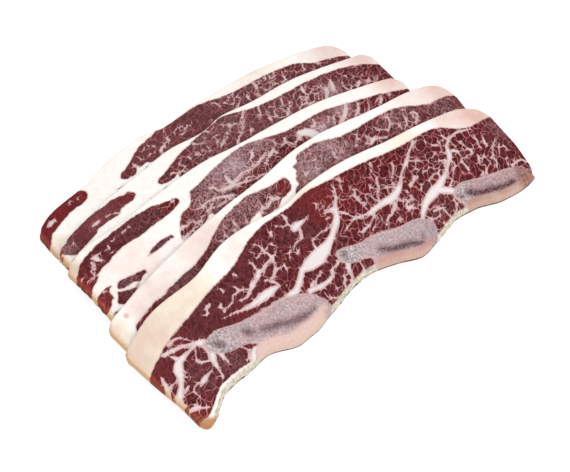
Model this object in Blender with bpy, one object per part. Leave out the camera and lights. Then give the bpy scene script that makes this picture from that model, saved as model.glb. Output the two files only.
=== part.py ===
"""Raw beef short ribs, cut across the bones.

Five thin slices of one slab lie shingled in the order they were cut: slice 1 is flat at
the back, and each next one lies over the front of the slice behind it, with its bone edge
on the table. A slice is a lean slab, the band of fat along its back edge, and three rib
sections that run through the lean from face to face.

X runs along the slices, Y from the bone edges to the fat edges, Z up, in metres. The
table is Z = 0, and the origin lies under the middle of the whole.
"""

import math

import bmesh
import bpy
import numpy as np

MM = 0.001

# Driving sizes
SLICE_THICKNESS = 5.5 * MM
TOUCHING_GAP = 0.3 * MM
STACKING_GAP = 0.4 * MM
BEND_RADIUS = 22.0 * MM
LEFT_CORNER_RADIUS = 3.5 * MM
RIGHT_CORNER_RADIUS = 7.0 * MM
RIM_DROP_TOP = 1.3 * MM
RIM_LIFT_BOTTOM = 0.7 * MM

# How much of its slope a curve keeps at a point where it turns back
TURN_SLOPE = 0.35

# Grid of each slab, closer towards its edges
COLUMNS = 34
LEAN_ROWS = 9
FAT_ROWS = 2
GRADING = 0.35

# Grid of the table, on which the slices are laid over each other
CELL = 1.0 * MM
TABLE_X = (-114 * MM, 136 * MM)
TABLE_Y = (-66 * MM, 112 * MM)
DRAPE_SMOOTHINGS = 36

# Rib sections
RIB_SEGMENTS = 28
RIB_SQUARENESS = 2.4
CUTTER_HEIGHT = 80.0 * MM

# The fat edges of slices 1 to 5, left to right, as (x, y) in millimetres
FAT_EDGES = (
    (
        (-90, 82), (-79, 88), (-55, 92.5), (-35, 98.5), (-11, 101), (0, 98.5), (23, 101), (54, 101),
        (84, 96.5), (103, 91), (112, 85),
    ),
    (
        (-91, 62), (-77, 67), (-53, 73), (-27, 77), (-11, 79.5), (9, 78), (25, 80.5), (47, 78),
        (67, 77.5), (90, 73), (116, 66),
    ),
    (
        (-96, 46), (-82, 51), (-57, 52), (-41, 54.5), (-4, 57), (11, 55.3), (43, 53.3), (67, 51),
        (91, 44.7), (112, 38),
    ),
    (
        (-100, 8), (-76, 14.3), (-50, 21), (-20, 25), (9, 28.4), (33, 31), (58, 30.5), (86, 26),
        (107, 23.5), (121, 20), (130, 15),
    ),
    (
        (-103, -9.5), (-82, -2.3), (-55, 1.4), (-33, 7.4), (-14, 8), (2, 7), (22, 9.5), (55, 8),
        (78, 5), (101, 1.5), (119, -2), (131, -8),
    ),
)

# How far the ends of slices 1 to 5 slant to the right, from fat edge to bone edge, in millimetres
LEFT_SLANTS = (0, 0, 4, 6, 8)
RIGHT_SLANTS = (-3, -4, -4, -4, -4)

# The width of the band of fat along slices 1 to 5, as (x, width) in millimetres
FAT_WIDTHS = (
    (
        (-90, 2), (-62, 2.5), (-35, 11.5), (-20, 7), (0, 2), (24, 2), (38, 6), (60, 7.3), (81, 7),
        (93, 12), (112, 11.7),
    ),
    (
        (-91, 2), (-64, 2), (-50, 4.5), (-26, 10.4), (-6, 5.8), (8, 2.2), (22, 2), (39, 4.6),
        (64, 6.8), (90, 5.5), (104, 7.5), (116, 13),
    ),
    (
        (-96, 5), (-60, 3.3), (-45, 4), (-22, 10.4), (-3, 7), (15, 2.6), (42, 8), (62, 7),
        (81, 8.3), (112, 10),
    ),
    (
        (-100, 11), (-60, 10), (-40, 9.6), (-25, 4.7), (-11, 2.2), (17, 7), (37, 3), (57, 6.8),
        (88, 4.8), (110, 10.6), (130, 4.5),
    ),
    (
        (-103, 16.5), (-71, 13), (-54, 9.7), (-36, 11.5), (-19, 6), (-5, 3), (12, 2.5), (34, 5),
        (75, 6), (96, 5.5), (113, 12.5), (131, 5),
    ),
)

# The depth of a slice from its fat edge to its bone edge, which bulges at each rib, as
# (distance from the left end, depth) in millimetres, and how much deeper slices 1 to 5 are
DEPTHS = (
    (0, 44), (13, 52), (27, 47.5), (52, 47), (71, 57.5), (80, 57.5), (93, 54), (109, 49), (122, 50),
    (137, 54), (150, 58), (163, 54.5), (180, 49), (190, 49), (205, 51.5), (222, 49.5), (234, 41),
)
DEPTH_FACTORS = (1.0, 1.0, 1.1, 1.0, 1.0)

# The rib sections: the centre's distance from the left end and from the bone edge, length,
# depth, tilt in degrees, and how much deeper the right end is than the left
RIBS = (
    dict(name="rib_a", x=62, inset=8.6, length=62, depth=20.0, tilt=-15, taper=0.20),
    dict(name="rib_b", x=139, inset=6.6, length=55, depth=17.0, tilt=-15, taper=0.15),
    dict(name="rib_c", x=205, inset=6.3, length=44, depth=14.5, tilt=-17, taper=0.10),
)

# Finishes: colour and roughness
LEAN_FINISH = ((0.16, 0.018, 0.020), 0.38)
FAT_FINISH = ((0.86, 0.76, 0.66), 0.42)
BONE_FINISH = ((0.52, 0.42, 0.44), 0.55)


def smooth_curve(points):
    """A function of x through points in millimetres, smooth and flatter where it turns."""
    xs = np.array([x for x, _ in points]) * MM
    ys = np.array([y for _, y in points]) * MM
    steps = np.diff(xs)
    rises = np.diff(ys) / steps
    slopes = np.concatenate([rises[:1], (rises[1:] + rises[:-1]) / 2, rises[-1:]])
    turning = rises[1:] * rises[:-1] <= 0
    slopes[1:-1][turning] *= TURN_SLOPE

    def curve(x):
        x = np.clip(np.asarray(x, float), xs[0], xs[-1])
        cell = np.clip(np.searchsorted(xs, x, side="right") - 1, 0, len(steps) - 1)
        h = steps[cell]
        t = (x - xs[cell]) / h
        ends = (1 + 2 * t) * (1 - t) ** 2 * ys[cell] + t**2 * (3 - 2 * t) * ys[cell + 1]
        return ends + h * (t * (1 - t) ** 2 * slopes[cell] - t**2 * (1 - t) * slopes[cell + 1])

    return curve


def rounding(near, radius):
    """How far a round corner draws an end in, at a distance from the edge that it meets."""
    reach = np.clip(1 - near / radius, 0, 1)
    return radius * (1 - np.sqrt(1 - reach**2))


class Slice:
    """The outline of one slice in plan, and the heights that its underside lies at."""

    def __init__(self, index):
        self.index = index
        self.left = FAT_EDGES[index][0][0] * MM
        self.right = FAT_EDGES[index][-1][0] * MM
        self.fat_edge = smooth_curve(FAT_EDGES[index])
        self.fat_width = smooth_curve(FAT_WIDTHS[index])
        self.depth = smooth_curve(DEPTHS)
        self.stretch = (self.right - self.left) / (DEPTHS[-1][0] * MM)
        self.heights = None

    def along(self, distance):
        """The x at a distance from the left end of a full-length slice."""
        return self.left + distance * self.stretch

    def bone_edge(self, x):
        depth = self.depth((x - self.left) / self.stretch)
        return self.fat_edge(x) - DEPTH_FACTORS[self.index] * depth

    def fat_seam(self, x):
        return self.fat_edge(x) - self.fat_width(x)

    def ends(self, x, y):
        """The x of both ends on the level of a point, drawn in round the corners."""
        below = self.fat_edge(x) - y
        above = y - self.bone_edge(x)
        slant = below / (below + above) * MM
        near = np.minimum(below, above)
        left = self.left + LEFT_SLANTS[self.index] * slant + rounding(near, LEFT_CORNER_RADIUS)
        right = self.right + RIGHT_SLANTS[self.index] * slant - rounding(near, RIGHT_CORNER_RADIUS)
        return left, right

    def covers(self, x, y, margin):
        """Whether the slice, made larger by the margin, lies over a point."""
        inside = np.clip(x, self.left, self.right)
        along = np.abs(x - inside) <= margin
        across = (y <= self.fat_edge(inside) + margin) & (y >= self.bone_edge(inside) - margin)
        return along & across

    def underside(self, x, y):
        """The height of the underside at a point."""
        u = (x - TABLE_X[0]) / CELL
        v = (y - TABLE_Y[0]) / CELL
        i = int(u)
        j = int(v)
        u -= i
        v -= j
        h = self.heights
        near = (1 - v) * h[i, j] + v * h[i, j + 1]
        far = (1 - v) * h[i + 1, j] + v * h[i + 1, j + 1]
        return float((1 - u) * near + u * far)

    def top(self, x, y):
        return self.underside(x, y) + SLICE_THICKNESS


def drooped(support, axis):
    """Spreads each height along one axis as far as meat of this bend radius carries it."""
    carried = support.copy()
    reach = int(math.sqrt(2 * BEND_RADIUS * float(support.max())) / CELL) + 1
    for shift in range(1, reach + 1):
        sag = (shift * CELL) ** 2 / (2 * BEND_RADIUS)
        rolled = np.roll(support, shift, axis)
        back = np.roll(support, -shift, axis)
        carried = np.maximum(carried, np.maximum(rolled, back) - sag)
    return carried


def blurred(field):
    for axis in (0, 1):
        field = (np.roll(field, 1, axis) + 2 * field + np.roll(field, -1, axis)) / 4
    return field


def lay(slices):
    """Lays each slice over those before it, down to the table where nothing holds it up."""
    x, y = np.meshgrid(np.arange(*TABLE_X, CELL), np.arange(*TABLE_Y, CELL), indexing="ij")
    stack = np.zeros_like(x)
    for upper in slices:
        heights = drooped(drooped(stack, 1), 0)
        for _ in range(DRAPE_SMOOTHINGS):
            heights = blurred(heights)
        sunk = float((stack - heights).max())
        heights += sunk * np.clip(heights / SLICE_THICKNESS, 0, 1)
        upper.heights = heights
        top = heights + SLICE_THICKNESS + STACKING_GAP
        stack = np.where(upper.covers(x, y, CELL), np.maximum(stack, top), stack)


def new_material(name, finish):
    colour, roughness = finish
    material = bpy.data.materials.new(name)
    material.use_nodes = True
    shader = material.node_tree.nodes["Principled BSDF"]
    shader.inputs["Base Color"].default_value = (*colour, 1)
    shader.inputs["Roughness"].default_value = roughness
    shader.inputs["Metallic"].default_value = 0
    return material


def put(name, mesh, collection, material=None):
    """Adds a mesh as a named object."""
    thing = bpy.data.objects.new(name, mesh)
    collection.objects.link(thing)
    if material:
        mesh.materials.append(material)
    return thing


def centre(parts, cutters):
    """Carries everything on an empty, so that the origin lies under the middle of the whole."""
    corners = np.array([vert.co for part in parts.objects for vert in part.data.vertices])
    middle = (corners.min(axis=0) + corners.max(axis=0)) / 2
    carrier = bpy.data.objects.new("carrier", None)
    carrier.location = (-middle[0], -middle[1], 0)
    for thing in parts.objects[:] + cutters.objects[:]:
        thing.parent = carrier
    cutters.objects.link(carrier)


def graded(share):
    """Moves evenly spaced shares towards 0 and 1."""
    return share - GRADING * math.sin(2 * math.pi * share) / (2 * math.pi)


def slab_mesh(name, cut, rows, back, front, open_rim):
    """A slab of the slice between two curves across it, thinner round its open rim."""
    form = bmesh.new()
    bmesh.ops.create_grid(form, x_segments=COLUMNS, y_segments=rows, size=0.5)
    raised = bmesh.ops.extrude_face_region(form, geom=form.faces[:])
    upper = {v for v in raised["geom"] if isinstance(v, bmesh.types.BMVert)}
    for vert in form.verts:
        along = graded(0.5 + vert.co.x)
        across = graded(0.5 - vert.co.y)
        x = cut.left + along * (cut.right - cut.left)
        y = back(x) + across * (front(x) - back(x))
        left, right = cut.ends(x, y)
        x = float(left + along * (right - left))
        y = float(back(x) + across * (front(x) - back(x)))
        rim = min(along, 1 - along) < 1e-6 or abs(across - open_rim) < 1e-6
        if vert in upper:
            vert.co = (x, y, cut.top(x, y) - rim * RIM_DROP_TOP)
        else:
            vert.co = (x, y, cut.underside(x, y) + rim * RIM_LIFT_BOTTOM)
    bmesh.ops.recalc_face_normals(form, faces=form.faces[:])
    mesh = bpy.data.meshes.new(name)
    form.to_mesh(mesh)
    form.free()
    return mesh


def rib_cutter(name, cut, rib, grow, collection):
    """A tall drum with the rib's rounded outline, deeper at one end."""
    drum = bmesh.new()
    bmesh.ops.create_cone(
        drum, cap_ends=True, segments=RIB_SEGMENTS, radius1=1, radius2=1, depth=CUTTER_HEIGHT
    )
    middle_x = cut.along(rib["x"] * MM)
    middle_y = float(cut.bone_edge(middle_x)) + rib["inset"] * MM
    tilt = math.radians(rib["tilt"])
    for vert in drum.verts:
        u = math.copysign(abs(vert.co.x) ** (2 / RIB_SQUARENESS), vert.co.x)
        v = math.copysign(abs(vert.co.y) ** (2 / RIB_SQUARENESS), vert.co.y)
        du = u * (rib["length"] / 2 * MM * cut.stretch + grow)
        dv = v * (rib["depth"] / 2 * MM * (1 + rib["taper"] * u) + grow)
        vert.co.x = middle_x + du * math.cos(tilt) - dv * math.sin(tilt)
        vert.co.y = middle_y + du * math.sin(tilt) + dv * math.cos(tilt)
    mesh = bpy.data.meshes.new(name)
    drum.to_mesh(mesh)
    drum.free()
    cutter = put(name, mesh, collection)
    cutter.hide_render = True
    cutter.display_type = "WIRE"
    return cutter


def cut_with(thing, cutter, operation):
    modifier = thing.modifiers.new(cutter.name, "BOOLEAN")
    modifier.operation = operation
    modifier.solver = "EXACT"
    modifier.object = cutter


def build_slice(cut, parts, cutters, finishes):
    """The fat band, the lean with a pocket for each rib, and the ribs in their pockets."""
    name = f"slice_{cut.index + 1}"
    half_gap = TOUCHING_GAP / 2
    fat_mesh = slab_mesh(
        f"{name}_fat_cap", cut, FAT_ROWS, cut.fat_edge, lambda x: cut.fat_seam(x) + half_gap, 0
    )
    put(f"{name}_fat_cap", fat_mesh, parts, finishes["fat"])
    whole_mesh = slab_mesh(
        f"{name}_lean", cut, LEAN_ROWS, lambda x: cut.fat_seam(x) - half_gap, cut.bone_edge, 1
    )
    for rib in RIBS:
        rib_name = f"{name}_{rib['name']}"
        section = put(rib_name, whole_mesh.copy(), parts, finishes["bone"])
        cut_with(section, rib_cutter(f"{rib_name}_outline", cut, rib, 0, cutters), "INTERSECT")
    lean = put(f"{name}_lean", whole_mesh, parts, finishes["lean"])
    for rib in RIBS:
        pocket = rib_cutter(f"{name}_{rib['name']}_pocket", cut, rib, TOUCHING_GAP, cutters)
        cut_with(lean, pocket, "DIFFERENCE")


def main():
    for thing in list(bpy.data.objects):
        bpy.data.objects.remove(thing)
    parts = bpy.data.collections.new("beef_short_ribs")
    cutters = bpy.data.collections.new("rib_outlines")
    for collection in (parts, cutters):
        bpy.context.scene.collection.children.link(collection)
    finishes = {
        "lean": new_material("raw_lean", LEAN_FINISH),
        "fat": new_material("raw_fat", FAT_FINISH),
        "bone": new_material("sawn_bone", BONE_FINISH),
    }
    slices = [Slice(index) for index in range(len(FAT_EDGES))]
    lay(slices)
    for cut in slices:
        build_slice(cut, parts, cutters, finishes)
    centre(parts, cutters)


main()
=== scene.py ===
"""Looks of the raw beef short ribs: marbled lean, bands of fat and sawn ribs in five slices."""

import math

import bpy
import numpy as np
from mathutils import Matrix, Vector


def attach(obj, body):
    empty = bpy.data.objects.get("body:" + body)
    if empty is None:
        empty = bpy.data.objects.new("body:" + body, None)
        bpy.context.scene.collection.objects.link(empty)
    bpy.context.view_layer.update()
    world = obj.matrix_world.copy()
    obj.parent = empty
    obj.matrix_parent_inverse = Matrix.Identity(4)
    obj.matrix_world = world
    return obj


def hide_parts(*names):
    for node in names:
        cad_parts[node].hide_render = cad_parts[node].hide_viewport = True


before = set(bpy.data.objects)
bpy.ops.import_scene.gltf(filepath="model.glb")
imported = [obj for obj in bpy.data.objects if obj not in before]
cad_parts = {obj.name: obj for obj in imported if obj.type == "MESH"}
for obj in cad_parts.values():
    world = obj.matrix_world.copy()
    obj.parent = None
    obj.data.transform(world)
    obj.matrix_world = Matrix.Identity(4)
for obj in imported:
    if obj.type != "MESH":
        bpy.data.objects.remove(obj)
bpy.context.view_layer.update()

MM = 0.001

# The slices, in the figures' frame: X along a slice, Y from bone edge to fat edge, in millimetres
ORIGIN = np.array((14.37, 22.09, 0))
SLICE_THICKNESS = 5.5
STACKING_GAP = 0.4
BEND_RADIUS = 22.0
LEFT_CORNER_RADIUS = 3.5
RIGHT_CORNER_RADIUS = 7.0
TURN_SLOPE = 0.35
# Where the fat edge of each slice runs, from its left end to its right end
FAT_EDGES = (
    (
        (-90, 82), (-79, 88), (-55, 92.5), (-35, 98.5), (-11, 101), (0, 98.5), (23, 101), (54, 101),
        (84, 96.5), (103, 91), (112, 85),
    ),
    (
        (-91, 62), (-77, 67), (-53, 73), (-27, 77), (-11, 79.5), (9, 78), (25, 80.5), (47, 78),
        (67, 77.5), (90, 73), (116, 66),
    ),
    (
        (-96, 46), (-82, 51), (-57, 52), (-41, 54.5), (-4, 57), (11, 55.3), (43, 53.3), (67, 51),
        (91, 44.7), (112, 38),
    ),
    (
        (-100, 8), (-76, 14.3), (-50, 21), (-20, 25), (9, 28.4), (33, 31), (58, 30.5), (86, 26),
        (107, 23.5), (121, 20), (130, 15),
    ),
    (
        (-103, -9.5), (-82, -2.3), (-55, 1.4), (-33, 7.4), (-14, 8), (2, 7), (22, 9.5), (55, 8),
        (78, 5), (101, 1.5), (119, -2), (131, -8),
    ),
)
# How far each end has moved at the bone edge
LEFT_SLANTS = (0, 0, 4, 6, 8)
RIGHT_SLANTS = (-3, -4, -4, -4, -4)
# How wide the band of fat is, at places along each slice
FAT_WIDTHS = (
    (
        (-90, 2), (-62, 2.5), (-35, 11.5), (-20, 7), (0, 2), (24, 2), (38, 6), (60, 7.3), (81, 7),
        (93, 12), (112, 11.7),
    ),
    (
        (-91, 2), (-64, 2), (-50, 4.5), (-26, 10.4), (-6, 5.8), (8, 2.2), (22, 2), (39, 4.6),
        (64, 6.8), (90, 5.5), (104, 7.5), (116, 13),
    ),
    (
        (-96, 5), (-60, 3.3), (-45, 4), (-22, 10.4), (-3, 7), (15, 2.6), (42, 8), (62, 7),
        (81, 8.3), (112, 10),
    ),
    (
        (-100, 11), (-60, 10), (-40, 9.6), (-25, 4.7), (-11, 2.2), (17, 7), (37, 3), (57, 6.8),
        (88, 4.8), (110, 10.6), (130, 4.5),
    ),
    (
        (-103, 16.5), (-71, 13), (-54, 9.7), (-36, 11.5), (-19, 6), (-5, 3), (12, 2.5), (34, 5),
        (75, 6), (96, 5.5), (113, 12.5), (131, 5),
    ),
)
# How deep a slice is from fat edge to bone edge, at places from its left end
DEPTHS = (
    (0, 44), (13, 52), (27, 47.5), (52, 47), (71, 57.5), (80, 57.5), (93, 54), (109, 49), (122, 50),
    (137, 54), (150, 58), (163, 54.5), (180, 49), (190, 49), (205, 51.5), (222, 49.5), (234, 41),
)
DEPTH_FACTORS = (1.0, 1.0, 1.1, 1.0, 1.0)
RIBS = (
    dict(name="rib_a", x=62, inset=8.6, length=62, depth=20.0, tilt=-15),
    dict(name="rib_b", x=139, inset=6.6, length=55, depth=17.0, tilt=-15),
    dict(name="rib_c", x=205, inset=6.3, length=44, depth=14.5, tilt=-17),
)
# The grid on which the slices are laid over each other
CELL = 1.0
TABLE_X = (-114, 136)
TABLE_Y = (-66, 112)
DRAPE_SMOOTHINGS = 36

# The camera of the photograph, 570 by 472 pixels, in the figures' frame
PHOTO_WIDTH = 570
PHOTO_CENTRE = (285.0, 236.0)
ELEVATION = math.radians(52.0)
AZIMUTH = math.radians(-40.4)
DISTANCE = 620.0
AIM = (0.0, 0.0, 8.0)
PIXELS_PER_MM = 2.05
SENSOR_WIDTH = 36.0
# Rounds in which a sight line is brought to the top of a slice
SIGHT_STEPS = 16
# Millimetres on a slice for a pixel of the photograph, across a seam or a spot
MM_PER_PIXEL = 0.52
# How far from a seam its distance is kept, in millimetres
SEAM_REACH = 3.0
# How deep in the lean or the fat the depth is still told apart, in millimetres
DEPTH_REACH = 8.0
# How far under the next slice the traced pattern goes over into that of the front slice
COVER_FADE = (2, 8)

# The stage, in metres: a floor just under the slices, light from all round and a window
WHITE = (1, 1, 1, 1)
FLOOR_HALF = 1.5
FLOOR_DEPTH = 0.0003
FLOOR_GLOW = 0.75
SKY_STRENGTH = 0.6
WINDOW_SIZE = (1.4, 1.0)
WINDOW_PLACE = (-0.1, -0.55, 1.15)
WINDOW_POWER = 11

# Fineness of the meshes
COLUMNS = (380, 380, 420, 440, 520)
FAT_ROWS = 18
LEAN_ROWS = (70, 70, 80, 84, 94)
GRADING = 0.72
WALL_LEVELS = 5
BONE_TURNS = 216
BONE_RINGS = 28
# Halvings that find where a step from a rib's middle meets the bone edge
HALVINGS = 24
SHARP_ANGLE = math.radians(70)

# Relief, in millimetres: how far in the top starts to round off at each side, and how far it drops
TOP_EDGES = {"left": (2.8, 3.2), "right": (2.4, 2.4), "fat": (1.7, 1.3), "bone": (2.2, 2.6)}
LEAST_SIDE = 1.6
LOW_ROUNDING = 0.8
LOW_ROUNDING_SHARE = 0.85
WALL_BULGE = 0.3
# How far the fat stands over the lean, how deep a slit is, and how far off its side each changes
FAT_RISE = 0.22
FAT_SLOPE = (-0.5, 0.4)
SLIT_DEPTH = 0.7
SLIT_SLOPE = (-0.3, 0.5)
# How far a rib stands proud, and how far the opening for it is smaller and the rib larger
BONE_RISE = 0.12
BONE_LAP = 0.35
BONE_OVERLAP = 0.2
BONE_ROUNDING = 0.5
GROOVE_DEPTH = 0.18
GROOVE_SLOPE = 0.8
# A wall is free where the rim lies this near to the edge of the slice
ON_EDGE = 0.02
# The distance from the rim that stands for none
NO_RIM = 9.0

# Uneven surfaces: height and length of their waves in millimetres, and their seed
WAVES_IN_RIPPLE = 9
BROAD_SWELL = (0.16, 22, 40)
FINE_SWELL = (0.05, 5, 60)
WALL_WAVE = (0.34, 4.5, 7)
# How far along the waves of a wall move from its top to its foot
WAVE_SHIFT = 9
RIB_WAVE = (0.2, 6, 3)
PIT_WAVE = (0.05, 2.2, 5)

# Lean outlines of slices 1 to 4, in pixels of the photograph: islands in the fat, and the main lean
ISLANDS = (
    (
        ((35, 235), (39, 226), (44.5, 217), (52, 209), (60, 203), (68, 197.5), (74, 193), (79, 190.5),
         (84, 191), (87, 193.5), (87.5, 196.5), (85.5, 200), (82, 204), (76, 208), (70, 213),
         (64, 220), (58, 227), (53, 234), (51.5, 240), (50, 245), (44, 246), (38, 242)),
    ),
    (
        ((58, 252), (62, 247), (66, 243), (67, 239), (70, 235.5), (75, 231), (80, 225), (84, 220),
         (89, 216.5), (95, 212), (100, 209), (105, 205), (110, 201.5), (115, 198.5), (120, 196),
         (124, 195), (127, 192.5), (131, 192), (135, 193), (136, 196), (133, 200), (128, 203.5),
         (121, 209), (120, 213), (115, 217), (108, 221), (102, 226), (98, 229.5), (97, 233),
         (93, 238), (87, 244), (82, 249), (78, 254), (74, 256), (70, 256), (66, 254), (61, 257)),
    ),
    (
        ((76, 280), (78, 274), (79, 268), (81, 263), (85, 258), (90, 252), (96, 246), (102, 240.5),
         (107, 237), (111, 233), (116, 230), (121, 226), (127, 221), (139, 213.7), (151, 206.7),
         (165.4, 202), (172, 199), (176, 197.5), (178.5, 199), (178.5, 203), (175, 208),
         (167, 215.4), (157, 222.5), (147, 230), (140, 236), (133, 240), (128, 243), (120, 249),
         (115, 254), (110, 260), (108, 263), (104, 266), (100, 272), (98, 277), (96, 283),
         (93, 288), (91, 294), (88, 296), (82, 290)),
        ((148, 256), (150, 252), (154, 247), (158, 242.5), (163, 239), (168, 236.5), (172, 235),
         (174, 237.5), (169, 240), (165, 244), (160, 248), (154, 252)),
        ((118, 284), (121, 280.5), (128, 277.5), (133, 274.5), (140, 271), (145, 269.5), (147, 271.5),
         (143, 276), (141, 281), (138, 281.5), (134, 282), (128, 286), (124, 288.5), (118, 289)),
        ((117.5, 292.5), (121, 291.5), (128, 290), (134, 287.5), (140, 283), (137, 289), (132, 295),
         (128, 300), (125, 304), (121, 304), (118, 303), (118.5, 297)),
        ((97, 299), (101, 294), (103, 291), (107, 288), (111, 286), (110, 290), (111, 294),
         (114.5, 298), (112, 300.5), (112, 305), (109, 310), (105, 311), (100, 306)),
    ),
    (),
)
MAIN_LEAN = (
    (((120.5, 177), (122, 171), (127, 163.5), (130, 158.5), (134, 153), (138, 148), (145, 141),
     (155, 132), (175, 110), (240, 55), (390, 20), (430, 100), (300, 150), (200, 160), (170, 165),
     (164, 153), (160.5, 156), (155, 160.7), (150, 162.7), (147, 162), (143.7, 165.3),
     (139.7, 167.7), (136.6, 167), (136.8, 171), (135, 174.7), (130, 177.3), (127, 178.7),
     (122, 179)),),
    (((158, 182), (160, 175), (163, 169), (167, 164), (172, 158), (180, 150), (190, 139),
     (205, 122), (290, 60), (420, 30), (460, 110), (330, 190), (230, 190), (190, 190), (181, 178),
     (177.5, 174), (175, 177.3), (170.3, 180.7), (165, 183.3), (160.3, 184.5)),),
    (((180, 226), (182, 214), (190, 205), (190.5, 197), (189.5, 190), (193, 183.5), (199, 175),
     (205, 160), (250, 120), (430, 60), (480, 120), (330, 220), (250, 235), (214, 214), (206, 222),
     (200, 229), (191, 236), (183, 240)),),
    (((136.5, 329), (138.5, 322), (142, 317), (147, 313), (149.5, 308), (154, 303), (157, 300.5),
     (161, 297.5), (166, 294), (167, 290), (172, 286), (177, 281), (182, 276), (187, 271.5),
     (192, 267.5), (198, 261), (203, 255), (206, 249.7), (209.5, 244), (211.7, 238), (214.7, 234),
     (217, 229), (220, 223), (224, 217.5), (229.3, 212), (234, 207), (240, 202), (246, 196),
     (254, 191), (262, 188), (270, 183.5), (276, 179), (283, 177.5), (288, 180), (291, 185),
     (290.5, 190), (286, 195), (281, 200), (279, 207), (272, 212), (264, 219), (262, 214),
     (259, 211), (255, 215.5), (250, 221), (246, 236), (230, 270), (200, 300), (170, 325),
     (145, 345)),
     ((293, 167), (297, 162), (296, 157), (301, 152), (312, 144), (330, 120), (460, 60),
      (500, 120), (400, 200), (330, 215), (300, 205), (296, 190), (299, 184), (296, 180),
      (296, 171))),
)

# White seams of fat, in pixels of the photograph, each with its width in the same pixels
SEAMS_1 = (
    ((48.5, 227.5, 2), (51, 223.5, 5), (55, 220.3, 3)),
    ((79, 196, 1.5), (77, 200, 1.2)),
    ((70, 200.5, 1), (68.5, 204, 1)),
    ((233, 91.5, 3), (231.5, 95.2, 2), (227.9, 99.6, 1.8), (224.9, 103.3, 2.2), (222.7, 104.7, 2)),
    ((251, 82, 1), (255, 85.7, 2.5), (257.2, 89.3, 1.8), (258.7, 93, 1.8), (260.5, 97, 2)),
    ((256.5, 87, 2.5), (259.4, 82.7, 1.5), (263.8, 77.6, 1.8), (266, 74.7, 1.5)),
    ((263.8, 77.6, 1.5), (266, 79.8, 1.2)),
    ((269, 74, 1.5), (270, 78.5, 1.8), (273, 77.5, 2.5), (274, 74, 2)),
    ((270.4, 85, 1.5), (274.8, 83.5, 1.2), (280.7, 82, 1.5), (284.3, 81.3, 3)),
    ((281.5, 71, 1.5), (283.6, 76, 2), (285.8, 80, 2.5)),
    ((270.4, 85, 1.8), (269, 90, 2.4)),
    ((260.9, 87, 1), (264.5, 89.3, 1.5), (268.2, 90, 1.5)),
    ((276, 84, 1.2), (273.3, 88.5, 1.2)),
    ((247, 94.5, 2.5), (248.6, 99, 3)),
    ((238, 96, 1.2), (239.6, 99.6, 1.5), (238, 104, 2), (237.4, 108.5, 2.5)),
    ((235, 104, 1.5), (231.5, 104, 1.5)),
    ((231, 100.5, 0.8), (236, 99, 0.8)),
    ((304, 61, 0.8), (303, 66, 1.5), (305, 70, 2.2)),
    ((317, 60, 0.8), (318, 65, 1.5)),
    ((330, 54, 0.8), (330, 60, 1.8)),
    ((342, 52, 0.8), (343, 56, 1.5)),
    ((213, 100, 0.8), (217, 105, 1.8), (221, 106, 1.2)),
    ((186.3, 124, 1.5), (187, 127.3, 2.5), (184.3, 128.7, 2), (184.3, 132, 1.8), (181.7, 134.7, 2.4)),
    ((181.7, 126, 1), (179, 128, 1.2)),
    ((190, 122, 1), (187, 126, 1.5)),
    ((176, 131, 1.2), (174, 134, 1)),
    ((164.3, 130, 1.3), (165.7, 134.7, 1.5), (167, 138, 1.5), (168.5, 139.6, 2.5)),
    ((168.5, 139.6, 2.4), (165.7, 142.7, 2.5), (163.7, 146, 3), (161.7, 148, 3.5), (161, 152, 3.5)),
    ((147, 145.7, 2), (149, 145.9, 1.6)),
    ((152.3, 145.3, 2.5), (155, 146.7, 1)),
    ((147, 155.3, 1.2), (151, 154, 2), (154.6, 151.8, 1.2)),
    ((138.3, 156, 1.5), (141.5, 160, 1.5)),
    ((132.3, 163.3, 1.2), (135.7, 166, 2.5), (138.3, 168, 3)),
    ((143, 148, 0.7), (141, 151, 0.7)),
)
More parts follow.
